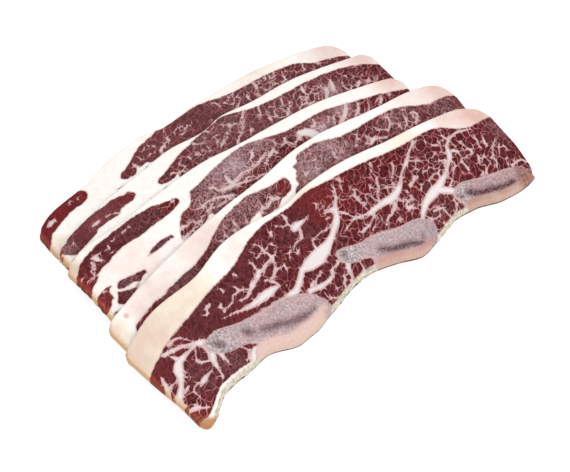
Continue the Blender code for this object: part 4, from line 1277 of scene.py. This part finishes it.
class Rib:
    """One rib section of a slice: its outline in plan, cut off at the bone edge."""

    def __init__(self, cut, rib, shape=None):
        self.cut = cut
        self.name = rib["name"]
        self.shape = shape
        self.x = cut.left + rib["x"] * cut.stretch
        self.y = float(cut.bone_edge(self.x)) + rib["inset"]
        self.tilt = math.radians(rib["tilt"])
        self.half_length = rib["length"] / 2 * cut.stretch
        self.half_depth = rib["depth"] / 2

    def radius(self, turns):
        """How far out the outline lies at some turns, in shares of the half sizes."""
        return np.interp(turns, *self.shape, period=2 * math.pi)

    def outward(self, turns, grow):
        """Steps from the middle to the outline at some turns round it."""
        radius = self.radius(turns)
        du = radius * np.cos(turns) * self.half_length
        dv = radius * np.sin(turns) * self.half_depth
        longer = 1 + grow / np.hypot(du, dv)
        du, dv = du * longer, dv * longer
        return np.stack([
            du * math.cos(self.tilt) - dv * math.sin(self.tilt),
            du * math.sin(self.tilt) + dv * math.cos(self.tilt),
        ], 1)

    def clipped_steps(self, turns):
        """The same steps on an uneven outline, cut short at the bone edge, and which ones are cut."""
        u, v = self.half_length * np.cos(turns), self.half_depth * np.sin(turns)
        steps = self.outward(turns, BONE_OVERLAP + ripple(u, v, RIB_WAVE))
        low, high = np.zeros(len(turns)), np.ones(len(turns))
        for _ in range(HALVINGS):
            middle = (low + high) / 2
            x, y = self.x + middle * steps[:, 0], self.y + middle * steps[:, 1]
            inside = y > self.cut.bone_edge(x)
            low = np.where(inside, middle, low)
            high = np.where(inside, high, middle)
        return steps * low[:, None], low < 0.999

    def local(self, x, y):
        """Along and across the rib from its middle."""
        dx, dy = x - self.x, y - self.y
        c, s = math.cos(self.tilt), math.sin(self.tilt)
        return dx * c + dy * s, dy * c - dx * s

    def shares(self, x, y):
        """Along and across the rib, in shares of its half length and half depth."""
        u, v = self.local(x, y)
        return u / self.half_length, v / self.half_depth

    def gap(self, x, y):
        """About how far points lie outside the outline, below zero inside."""
        a, b = self.shares(x, y)
        level = np.hypot(a, b) / self.radius(np.arctan2(b, a))
        return np.hypot(*self.local(x, y)) * (1 - 1 / np.maximum(level, 1e-3))


def rib_shape(front, rib):
    """A rib's outline on the front slice: turns round it, and radii in shares of its half sizes."""
    points = smoothed(on_slice(front, RIB_OUTLINES[rib["name"]]), closed=True)
    u, v = Rib(front, rib).shares(*points.T)
    turns = np.arctan2(v, u)
    order = np.argsort(turns)
    return turns[order], np.hypot(u, v)[order]


def marrow_shares(front, rib):
    """Marrow lines of the photograph, as shares of a rib's half length and half depth."""
    lines = []
    for line in MARROW[rib["name"]]:
        line = np.asarray(line, float)
        u, v = Rib(front, rib).shares(*on_slice(front, line[:, :2]).T)
        lines.append(np.column_stack([u, v, line[:, 2] * MM_PER_PIXEL]))
    return lines


def bone_piece(name, rib, marrow, material):
    """A rib section: two sawn faces a little proud of the lean, and its rounded side."""
    steps, cut_off = rib.clipped_steps(np.linspace(0, 2 * math.pi, BONE_TURNS, endpoint=False))
    share = np.sin(np.linspace(0, math.pi / 2, BONE_RINGS + 1))[1:]
    x = np.concatenate([[rib.x], (rib.x + share[:, None] * steps[None, :, 0]).ravel()])
    y = np.concatenate([[rib.y], (rib.y + share[:, None] * steps[None, :, 1]).ravel()])
    span = np.concatenate([[1.0], np.tile(np.linalg.norm(steps, axis=1), BONE_RINGS)])
    from_rim = (1 - np.concatenate([[0], np.repeat(share, BONE_TURNS)])) * span
    at_cut = np.concatenate([[0.0], np.tile(cut_off.astype(float), BONE_RINGS)])
    away = from_sides(rib.cut, x, y)
    low, top = heights(rib.cut, x, y, away, 0.5)
    size = np.array([rib.half_length, rib.half_depth, 1.0])
    lines = [smoothed(line * size, closed=False) for line in marrow]
    groove = off_seams(*rib.local(x, y), lines)
    pits = ripple(x, y, PIT_WAVE) - GROOVE_DEPTH * (1 - smooth_step(groove, -GROOVE_SLOPE, GROOVE_SLOPE))
    proud = FAT_RISE / 2 + BONE_RISE * smooth_step(from_rim, 0.3, 3.0)
    tuck = rounding(from_rim, BONE_ROUNDING) * (1 - at_cut)
    top = top + proud + pits * smooth_step(from_rim, 0.2, 1.5) - tuck
    low = low - BONE_RISE + tuck
    turn = np.arange(BONE_TURNS)
    following = np.roll(turn, -1)
    rim = 1 + (BONE_RINGS - 1) * BONE_TURNS + turn
    out = steps / np.linalg.norm(steps, axis=1, keepdims=True)
    sides = Sides(x, y, top, low, rim, out, cut_off, wavy=False)
    inner = 1 + np.arange(BONE_RINGS - 1)[:, None] * BONE_TURNS
    outer = inner + BONE_TURNS
    quads = np.stack([inner + turn, outer + turn, outer + following, inner + following], -1).reshape(-1, 4)
    fans = np.stack([np.zeros(BONE_TURNS, int), 1 + turn, 1 + following], 1)
    faces = [quads, quads[:, ::-1] + len(x), *sides.walls(turn, following), fans, fans[:, ::-1] + len(x)]
    piece = make_piece(name, sides.points, faces, material)
    along, across = rib.shares(x, y)
    # At the bone edge there is rind and no bare rim, so the distance from the rim is a long one
    from_rim = np.where(at_cut > 0, NO_RIM, from_rim)
    for key, values in {
        "from_rim": from_rim, "from_bone": away["bone"], "from_marrow": groove,
        "along_rib": along, "across_rib": across,
    }.items():
        give(piece, key, values[sides.sources])
    give(piece, "side", sides.down)
    return piece


def srgb(red, green, blue):
    """A colour in the shader's linear values, from 0 to 255 as seen."""
    def linear(c):
        c /= 255
        return c / 12.92 if c <= 0.04045 else ((c + 0.055) / 1.055) ** 2.4
    return (linear(red), linear(green), linear(blue), 1)


def shade(colour):
    """The shader's values of a colour that is named or given as seen; a socket stays as it is."""
    if isinstance(colour, str):
        colour = COLOURS[colour]
    return srgb(*colour) if isinstance(colour, tuple) else colour


class Graph:
    """Short ways to add and join nodes in a material or a group."""

    def __init__(self, tree):
        self.tree = tree

    def put(self, socket, value):
        """Joins a socket to another one, or sets it to a plain value."""
        if isinstance(value, bpy.types.NodeSocket):
            self.tree.links.new(value, socket)
        else:
            socket.default_value = value

    def fill(self, node, inputs):
        """Joins or sets inputs of a node, by name or by number."""
        for key, value in inputs.items():
            self.put(node.inputs[key], value)

    def node(self, kind, inputs=None, **settings):
        """A new node with its settings, and with its inputs joined or set."""
        added = self.tree.nodes.new(kind)
        for key, value in settings.items():
            setattr(added, key, value)
        self.fill(added, inputs or {})
        return added

    def math(self, operation, *values):
        return self.node("ShaderNodeMath", dict(enumerate(values)), operation=operation).outputs[0]

    def vector(self, operation, *values):
        return self.node("ShaderNodeVectorMath", dict(enumerate(values)), operation=operation).outputs[0]

    def times(self, first, second):
        return self.math("MULTIPLY", first, second)

    def plus(self, first, second):
        return self.math("ADD", first, second)

    def larger(self, first, second):
        return self.math("MAXIMUM", first, second)

    def smaller(self, first, second):
        return self.math("MINIMUM", first, second)

    def ramp(self, value, low, high, start=0.0, end=1.0):
        """Goes smoothly from start to end while a value goes from low to high."""
        inputs = dict(enumerate((value, low, high, start, end)))
        return self.node("ShaderNodeMapRange", inputs, interpolation_type="SMOOTHSTEP").outputs[0]

    def mix(self, share, first, second):
        """Goes from one colour to another by a share."""
        inputs = {0: share, 6: shade(first), 7: shade(second)}
        return self.node("ShaderNodeMix", inputs, data_type="RGBA").outputs[2]

    def noise(self, place, size, detail=2.0, rough=0.5):
        """Noise from 0 to 1 with lumps of about one size in millimetres."""
        inputs = {"Vector": place, "Scale": 1 / (size * MM), "Detail": detail, "Roughness": rough}
        return self.node("ShaderNodeTexNoise", inputs).outputs["Fac"]

    def attribute(self, name):
        return self.node("ShaderNodeAttribute", attribute_name=name).outputs["Fac"]

    def group(self, tree, **inputs):
        return self.node("ShaderNodeGroup", inputs, node_tree=tree).outputs

    def bump(self, height, strength):
        """The normal of a surface with a height in millimetres."""
        inputs = {"Distance": MM, "Strength": strength, "Height": height}
        return self.node("ShaderNodeBump", inputs).outputs[0]


def new_group(name, inputs, outputs):
    """A shader node group with named inputs and outputs, and its graph."""
    tree = bpy.data.node_groups.new(name, "ShaderNodeTree")
    for label, kind in inputs.items():
        tree.interface.new_socket(name=label, in_out="INPUT", socket_type=kind)
    for label, kind in outputs.items():
        tree.interface.new_socket(name=label, in_out="OUTPUT", socket_type=kind)
    graph = Graph(tree)
    return tree, graph, graph.node("NodeGroupInput").outputs, graph.node("NodeGroupOutput").inputs


def lobules_group():
    """Lobules of muscle, drawn out slantwise: how far off their borders are, and a shade each."""
    tree, g, given, out = new_group(
        "lobules", {"Place": VECTOR, "Size": FLOAT}, {"Border": FLOAT, "Shade": FLOAT},
    )
    scale = g.math("DIVIDE", 1 / MM, given["Size"])
    inputs = {"Vector": given["Place"], "Scale": g.times(scale, 0.9), "Detail": 1.0}
    wander = g.node("ShaderNodeTexNoise", inputs).outputs["Color"]
    inputs = {0: g.vector("SUBTRACT", wander, (0.5, 0.5, 0.5)), "Scale": g.math("DIVIDE", 1.7, scale)}
    pull = g.node("ShaderNodeVectorMath", inputs, operation="SCALE").outputs[0]
    drawn = g.node("ShaderNodeMapping", {
        "Vector": g.vector("ADD", given["Place"], pull),
        "Rotation": (0, 0, math.radians(48)),
        "Scale": (1.6, 0.9, 1.0),
    }, vector_type="TEXTURE").outputs[0]
    cells = {"Vector": drawn, "Scale": scale, "Randomness": 1.0}
    border = g.node("ShaderNodeTexVoronoi", cells, feature="DISTANCE_TO_EDGE", voronoi_dimensions="2D")
    tone = g.node("ShaderNodeTexVoronoi", cells, feature="F1", voronoi_dimensions="2D")
    split = g.node("ShaderNodeSeparateColor", {0: tone.outputs["Color"]})
    g.put(out["Border"], g.times(border.outputs["Distance"], given["Size"]))
    g.put(out["Shade"], split.outputs[0])
    return tree


def grain_group():
    """The mottled grain of cut muscle, and its short fibres, turned by an angle."""
    tree, g, given, out = new_group(
        "muscle_grain", {"Place": VECTOR, "Size": FLOAT, "Turn": FLOAT}, {"Grain": FLOAT, "Fibres": FLOAT},
    )
    scale = g.math("DIVIDE", 1 / MM, given["Size"])
    inputs = {"Vector": given["Place"], "Scale": scale, "Detail": 3.0, "Roughness": 0.65}
    coarse = g.node("ShaderNodeTexNoise", inputs)
    inputs = {"Vector": given["Place"], "Angle": given["Turn"]}
    turned = g.node("ShaderNodeVectorRotate", inputs, rotation_type="Z_AXIS").outputs[0]
    drawn = g.node("ShaderNodeMapping", {"Vector": turned, "Scale": (3.0, 1.0, 1.0)}).outputs[0]
    inputs = {"Vector": drawn, "Scale": g.math("DIVIDE", 0.44 / MM, given["Size"]), "Detail": 2.0}
    fibres = g.node("ShaderNodeTexNoise", inputs)
    g.put(out["Grain"], g.ramp(coarse.outputs["Fac"], 0.32, 0.68))
    g.put(out["Fibres"], g.ramp(fibres.outputs["Fac"], 0.36, 0.64))
    return tree


def pores_group():
    """Fine pores and saw marks of a sawn rib, drawn out across it."""
    tree, g, given, out = new_group(
        "bone_pores", {"Place": VECTOR, "Size": FLOAT}, {"Pores": FLOAT, "Mottle": FLOAT},
    )
    drawn = g.node("ShaderNodeMapping", {
        "Vector": given["Place"], "Rotation": (0, 0, math.radians(-15)), "Scale": (1.0, 0.5, 1.0),
    }).outputs[0]
    scale = g.math("DIVIDE", 1 / MM, given["Size"])
    inputs = {"Vector": drawn, "Scale": scale, "Detail": 3.0, "Roughness": 0.7}
    fine = g.node("ShaderNodeTexNoise", inputs)
    inputs = {"Vector": given["Place"], "Scale": g.times(scale, 0.13), "Detail": 2.0}
    wide = g.node("ShaderNodeTexNoise", inputs)
    g.put(out["Pores"], g.ramp(fine.outputs["Fac"], 0.34, 0.66))
    g.put(out["Mottle"], g.ramp(wide.outputs["Fac"], 0.38, 0.64))
    return tree


def new_material(name):
    """A material, its graph and its shader."""
    material = bpy.data.materials.new(name)
    material.use_nodes = True
    return material, Graph(material.node_tree), material.node_tree.nodes["Principled BSDF"]


def wobbled(g, place, value, size, reach):
    """A value made uneven by noise of some size, both in millimetres."""
    noise = g.math("SUBTRACT", g.noise(place, size, 3, 0.6), 0.5)
    return g.plus(value, g.times(noise, reach * 2))


def near(g, place, distance, size, reach, low, high, strength):
    """A share that is full where a distance is under low and gone past high, with an uneven side."""
    return g.ramp(wobbled(g, place, distance, size, reach), low, high, strength, 0.0)


def positive(g, value, factor):
    """A value times a factor where that is above zero, and zero elsewhere."""
    return g.larger(g.times(value, factor), 0.0)


def lines_between(g, border, width):
    """Thin lines along the borders of lobules, of a width to each side, gone where that is little."""
    line = g.ramp(border, g.times(width, 0.3), g.plus(width, 0.05), 1.0, 0.0)
    return g.times(line, g.ramp(width, 0.02, 0.2))


def white_masks(g, place, wide, narrow):
    """Where the outer fat, the traced seams and the fine marbling lie, each from 0 to 1."""
    spur = g.times(g.math("SUBTRACT", g.smaller(wide["Border"], 0.8), 0.4), 0.9)
    spur = g.smaller(wobbled(g, place, spur, 2.4, 0.25), 0.12)
    depth = g.plus(g.attribute("lean_depth"), g.times(spur, 0.5))
    depth = wobbled(g, place, wobbled(g, place, depth, 3.6, 0.6), 1.3, 0.16)
    seam_side = g.plus(g.attribute("vein"), spur)
    fat = g.ramp(depth, -0.28, 0.32, 1.0, 0.0)
    seams = g.ramp(seam_side, -0.16, 0.26, 1.0, 0.0)
    marbled = g.attribute("marbled")
    share = g.times(marbled, g.ramp(g.noise(place, 4, 2), 0.36, 0.62, 0.5, 1.0))
    by_seams = g.ramp(g.attribute("vein"), 0.0, 2.2, 0.22, 0.0)
    by_seams = g.times(by_seams, g.ramp(marbled, 0.0, 0.5, 0.4, 1.0))
    coarse = lines_between(g, wide["Border"], g.plus(g.times(share, 0.42), by_seams))
    coarse = g.times(coarse, g.ramp(g.noise(place, 6, 3), 0.4, 0.6, 0.3, 1.0))
    share = g.times(marbled, g.ramp(g.noise(place, 3.2, 2), 0.42, 0.66, 0.2, 1.0))
    fine = lines_between(g, narrow["Border"], g.times(share, 0.24))
    return depth, seam_side, fat, seams, g.larger(coarse, g.times(fine, 0.36))


def lean_colour(g, place, grain, wide, narrow, depth, seam_side):
    """Lobules with dark hearts where the marbling is close, plain dark lean elsewhere."""
    plain = g.mix(grain["Fibres"], "plain lean", "plain fibre")
    plain = g.mix(g.ramp(wide["Border"], 0.0, 0.6, 0.35, 0.0), plain, "lobule border")
    heart = g.ramp(wide["Border"], 0.0, 0.46)
    heart = g.times(heart, g.ramp(narrow["Border"], 0.0, 0.24, 0.5, 1.0))
    lobed = g.mix(heart, "lobule", "lobule heart")
    lobed = g.mix(g.times(grain["Fibres"], 0.24), lobed, "lobule fibre")
    lobed = g.mix(g.times(wide["Shade"], 0.35), lobed, "redder lobule")
    inner = g.mix(g.ramp(g.attribute("marbled"), 0.1, 0.6), plain, lobed)
    outer = g.mix(grain["Fibres"], "lean by fat", "fibre by fat")
    nearness = g.larger(g.ramp(seam_side, 0.1, 0.9, 0.5, 0.0), g.ramp(depth, 0.0, 0.7, 0.5, 0.0))
    colour = g.mix(nearness, inner, outer)
    tint = g.attribute("tint")
    red = g.mix(grain["Grain"], "red lean", "bright red lean")
    # Grey with pale flecks where the tint is below zero: painted sheen
    sheen_grey = g.mix(grain["Fibres"], "grey sheen lean", "grey sheen fibre")
    sheen_grey = g.mix(g.ramp(g.noise(place, 1.1, 2, 0.7), 0.51, 0.6, 0.0, 0.8), sheen_grey, "pale sheen fleck")
    colour = g.mix(positive(g, tint, 0.75), colour, red)
    return g.mix(positive(g, tint, -0.65), colour, sheen_grey)


def fat_colour(g, place, depth):
    """White, going over cream to beige or to pink where the traced spots say so."""
    tint = wobbled(g, place, g.attribute("fat_tint"), 5.0, 0.28)
    colour = g.mix(g.noise(place, 9, 3), "white fat", "whitest fat")
    colour = g.mix(positive(g, tint, 0.9), colour, "pink fat")
    # Cream, then beige, where the tint is below zero: partly the fat's own colour, partly painted shade
    # where the cap slopes away
    colour = g.mix(g.ramp(tint, -0.5, 0.0, 0.9, 0.0), colour, "cream fat")
    colour = g.mix(g.ramp(tint, -1.1, -0.3, 0.95, 0.0), colour, "beige fat and shade")
    mottle = g.ramp(g.noise(place, 2.6, 3, 0.7), 0.44, 0.7, 0.0, 0.24)
    colour = g.mix(mottle, colour, "fat mottle")
    specks = g.ramp(g.noise(place, 0.9, 3, 0.75), 0.62, 0.74, 0.0, 0.3)
    colour = g.mix(specks, colour, "fat speck")
    # Pinkish and darker within a millimetre of the lean: painted shade along the edge of the fat
    return g.mix(g.ramp(depth, -1.0, 0.0, 0.0, 0.45), colour, "fat shaded by lean")


def painted_foot_shadow(g, place, colour):
    """A colour with a painted dark contact shadow, uneven, along the foot round the side of a slice."""
    foot_shadow = g.ramp(wobbled(g, place, g.attribute("side"), 3.0, 0.3), 0.44, 0.68, 0.0, 0.95)
    return g.mix(foot_shadow, colour, "foot_shadow")


def rim_colour(g, place, colour, white):
    """Membrane along the bone edge, brown crust at the left end, and a painted dark contact shadow along
    the foot round the side.
    """
    from_left = g.attribute("from_left")
    from_bone = g.attribute("from_bone")
    ragged = wobbled(g, place, g.attribute("from_rib"), 1.4, 1.4)
    colour = g.mix(near(g, place, ragged, 3.5, 1.0, 0.1, 1.2, 0.8), colour, "rib fringe")
    speckle = g.ramp(g.noise(place, 1.4, 3, 0.7), 0.36, 0.64)
    membrane = g.mix(speckle, "membrane", "pale membrane")
    colour = g.mix(near(g, place, from_bone, 2.0, 0.4, 0.5, 1.6, 0.9), colour, membrane)
    dried = near(g, place, from_left, 2.4, 0.8, 0.3, 2.5, 0.85)
    colour = g.mix(dried, colour, g.mix(white, "dried lean", "dried fat"))
    rim = near(g, place, from_left, 1.6, 0.4, 0.05, 0.7, 0.9)
    colour = g.mix(rim, colour, g.mix(white, "lean rim", "fat rim"))
    corner = near(g, place, from_left, 3.0, 0.8, 2.5, 6.0, 0.9)
    corner = g.times(corner, g.ramp(from_bone, 1.5, 4.0, 1.0, 0.0))
    colour = g.mix(corner, colour, "dried corner")
    wall = g.times(g.ramp(g.attribute("side"), 0.0, 0.3), g.ramp(from_left, 0.6, 2.0, 0.9, 0.0))
    colour = g.mix(wall, colour, g.mix(white, "lean wall", "fat wall"))
    return painted_foot_shadow(g, place, colour)


def meat_material(name, groups, gloss):
    """Marbled lean and fat, as the attributes of the mesh say."""
    material, g, shader = new_material(name)
    place = g.node("ShaderNodeTexCoord").outputs["Object"]
    wide = g.group(groups["lobules"], Place=place, Size=WIDE_LOBULE)
    narrow = g.group(groups["lobules"], Place=place, Size=NARROW_LOBULE)
    turn = g.plus(g.times(wide["Shade"], 1.4), -0.9)
    grain = g.group(groups["grain"], Place=place, Size=GRAIN_SIZE, Turn=turn)
    depth, seam_side, fat, seams, fine = white_masks(g, place, wide, narrow)
    colour = lean_colour(g, place, grain, wide, narrow, depth, seam_side)
    beside = g.ramp(g.attribute("vein"), 0.0, 1.6, 1.0, 0.0)
    colour = g.mix(g.times(fine, 0.9), colour, g.mix(beside, "fine marbling", "marbling by seam"))
    seam_colour = g.mix(g.ramp(seam_side, -1.5, 0.0), "seam", "seam side")
    colour = g.mix(seams, colour, seam_colour)
    # Pale flecked haze over the lean: painted sheen
    flecks = g.ramp(g.noise(place, 1.3, 3, 0.65), 0.42, 0.62, 0.35, 1.0)
    colour = g.mix(g.times(g.attribute("haze"), flecks), colour, "haze")
    colour = g.mix(fat, colour, fat_colour(g, place, depth))
    white = g.larger(g.larger(fat, seams), g.times(fine, 0.7))
    colour = rim_colour(g, place, colour, white)
    # Painted shade in the slits where the edge of a slice lifts off the one below
    colour = g.mix(g.ramp(g.attribute("slit"), -0.2, 0.35, 0.85, 0.0), colour, "slit")
    rough = g.plus(g.plus(gloss, g.times(grain["Grain"], 0.14)), g.times(white, 0.08))
    relief = g.plus(g.times(white, 0.12), g.times(grain["Grain"], 0.06))
    relief = g.plus(relief, g.times(grain["Fibres"], 0.06))
    g.fill(shader, {
        "Base Color": colour, "Roughness": rough, "Specular IOR Level": 0.08,
        "Normal": g.bump(relief, 0.6),
    })
    return material


def bone_colour(g, place, pores, look):
    """Porous pinkish grey with dark marrow, a grey halo round it, and another far end."""
    along = g.attribute("along_rib")
    from_marrow = g.attribute("from_marrow")
    pinker = tuple(value + change for value, change in zip(look["face"], PINKER))
    colour = g.mix(pores["Mottle"], look["face"], pinker)
    colour = g.mix(g.times(pores["Pores"], 0.6), colour, "bone pore")
    flecks = g.ramp(g.noise(place, 1.0, 2, 0.6), 0.54, 0.68, 0.0, 0.6)
    colour = g.mix(flecks, colour, "bone fleck")
    left_end = near(g, place, along, 5.0, 0.2, -0.95, -0.4, 0.8)
    colour = g.mix(left_end, colour, g.mix(pores["Pores"], "spongy bone", "spongy hole"))
    halo = near(g, place, from_marrow, 1.2, 1.4, -0.2, 2.6, 0.6)
    halo = g.times(halo, g.ramp(g.attribute("across_rib"), -0.9, 0.1, 0.9, 1.0))
    colour = g.mix(halo, colour, "marrow halo")
    core = near(g, place, from_marrow, 0.8, 2.4, -0.8, 0.6, look["fill"])
    core = g.times(core, g.ramp(g.noise(place, 0.7, 2), 0.4, 0.58, 0.45, 1.0))
    return g.mix(core, colour, look["marrow"])


def rind_colour(g, place, pores, look, colour):
    """The rind along the bone edge, the fringe of the rim, and the skin of the far end."""
    width = look["rind_width"]
    from_bone = wobbled(g, place, g.attribute("from_bone"), 3.0, 0.7)
    rind = g.mix(g.times(pores["Mottle"], 0.25), look["rind"], "pale rind")
    rind = g.mix(g.ramp(from_bone, 0.2, width * 0.4, 0.4, 0.0), rind, "rind edge")
    dots = g.ramp(g.noise(place, 1.2, 3, 0.7), 0.5, 0.7, 0.0, 0.34)
    rind = g.mix(dots, rind, "rind dot")
    colour = g.mix(g.ramp(from_bone, width - 1.6, width + 1.0, 1.0, 0.0), colour, rind)
    fringe = near(g, place, g.attribute("from_rim"), 1.5, 1.2, 0.2, 2.0, 0.8)
    colour = g.mix(fringe, colour, "rib fringe")
    start = look["end_start"]
    end = g.ramp(wobbled(g, place, g.attribute("along_rib"), 4.0, 0.12), start, start + 0.24, 0.0, 0.85)
    patches = g.ramp(g.noise(place, 1.7, 3, 0.7), 0.4, 0.6)
    return g.mix(end, colour, g.mix(patches, *look["end"]))


def bone_material(groups, look):
    """A sawn rib with its marrow and its rind."""
    material, g, shader = new_material(look["name"])
    place = g.node("ShaderNodeTexCoord").outputs["Object"]
    pores = g.group(groups["pores"], Place=place, Size=PORE_SIZE)
    colour = bone_colour(g, place, pores, look)
    colour = rind_colour(g, place, pores, look, colour)
    g.fill(shader, {
        # A painted dark contact shadow at the foot of the rib's side
        "Base Color": painted_foot_shadow(g, place, colour),
        "Roughness": g.plus(0.5, g.times(pores["Pores"], 0.15)),
        "Specular IOR Level": 0.12,
        "Normal": g.bump(g.times(pores["Pores"], -0.1), 0.8),
    })
    return material


def make_floor():
    """A plain white floor just under the slices."""
    mesh = bpy.data.meshes.new("floor")
    corners = ((-1, -1), (1, -1), (1, 1), (-1, 1))
    points = [(x * FLOOR_HALF, y * FLOOR_HALF, -FLOOR_DEPTH) for x, y in corners]
    mesh.from_pydata(points, [], [(0, 1, 2, 3)])
    floor = linked(bpy.data.objects.new("floor", mesh))
    material, g, shader = new_material("plain_floor")
    g.fill(shader, {
        "Base Color": (0.4, 0.4, 0.4, 1), "Roughness": 0.9, "Specular IOR Level": 0.0,
        "Emission Color": WHITE, "Emission Strength": FLOOR_GLOW,
    })
    mesh.materials.append(material)


def make_light():
    """Soft light from all round, and a window above the near side."""
    world = bpy.data.worlds.new("soft_light")
    bpy.context.scene.world = world
    world.use_nodes = True
    background = world.node_tree.nodes["Background"]
    background.inputs["Color"].default_value = WHITE
    background.inputs["Strength"].default_value = SKY_STRENGTH
    lamp = bpy.data.lights.new("window", "AREA")
    lamp.shape = "RECTANGLE"
    lamp.size, lamp.size_y = WINDOW_SIZE
    lamp.energy = WINDOW_POWER
    window = linked(bpy.data.objects.new("window", lamp))
    window.location = WINDOW_PLACE
    window.rotation_euler = (-window.location).to_track_quat("-Z", "Y").to_euler()


def make_camera():
    """The photograph's camera."""
    place, forward, right, up = camera_axes()
    view = bpy.data.cameras.new("camera")
    view.sensor_width = SENSOR_WIDTH
    view.lens = PIXELS_PER_MM * DISTANCE / PHOTO_WIDTH * SENSOR_WIDTH
    camera = linked(bpy.data.objects.new("camera", view))
    rotation = Matrix([right, up, -forward]).transposed().to_4x4()
    camera.matrix_world = Matrix.Translation(Vector((place - ORIGIN) * MM)) @ rotation
    bpy.context.scene.camera = camera
    bpy.context.scene.view_settings.view_transform = "Standard"


def dress(piece, node):
    """Puts a piece in the place of a solid."""
    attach(piece, "root")
    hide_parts(node)


def dress_slice(cut, pattern, marrow, lean_material, fat_material, bones):
    """One slice: its cap of fat, its lean and its three ribs."""
    name = f"slice_{cut.index + 1}"
    slab = Slab(cut, pattern)
    cap = closed_shell(f"{name}_marbled_cap", slab, slab.cap_cells(), fat_material)
    lean = closed_shell(f"{name}_marbled_lean", slab, slab.lean_cells(), lean_material)
    dress(cap, f"{name}_fat_cap")
    dress(lean, f"{name}_lean")
    for rib in slab.ribs:
        node = f"{name}_{rib.name}"
        dress(bone_piece(f"{node}_sawn", rib, marrow[rib.name], bones[rib.name]), node)


def main():
    make_floor()
    make_light()
    make_camera()
    slices = [Slice(index) for index in range(len(FAT_EDGES))]
    lay(slices)
    pattern = Pattern(slices)
    groups = {"grain": grain_group(), "lobules": lobules_group(), "pores": pores_group()}
    lean_material = meat_material("raw_lean_marbled", groups, LEAN_ROUGHNESS)
    fat_material = meat_material("raw_fat_cap", groups, FAT_ROUGHNESS)
    bones = {rib: bone_material(groups, look) for rib, look in BONE_LOOKS.items()}
    marrow = {rib["name"]: marrow_shares(pattern.front, rib) for rib in RIBS}
    for cut in slices:
        dress_slice(cut, pattern, marrow, lean_material, fat_material, bones)


main()
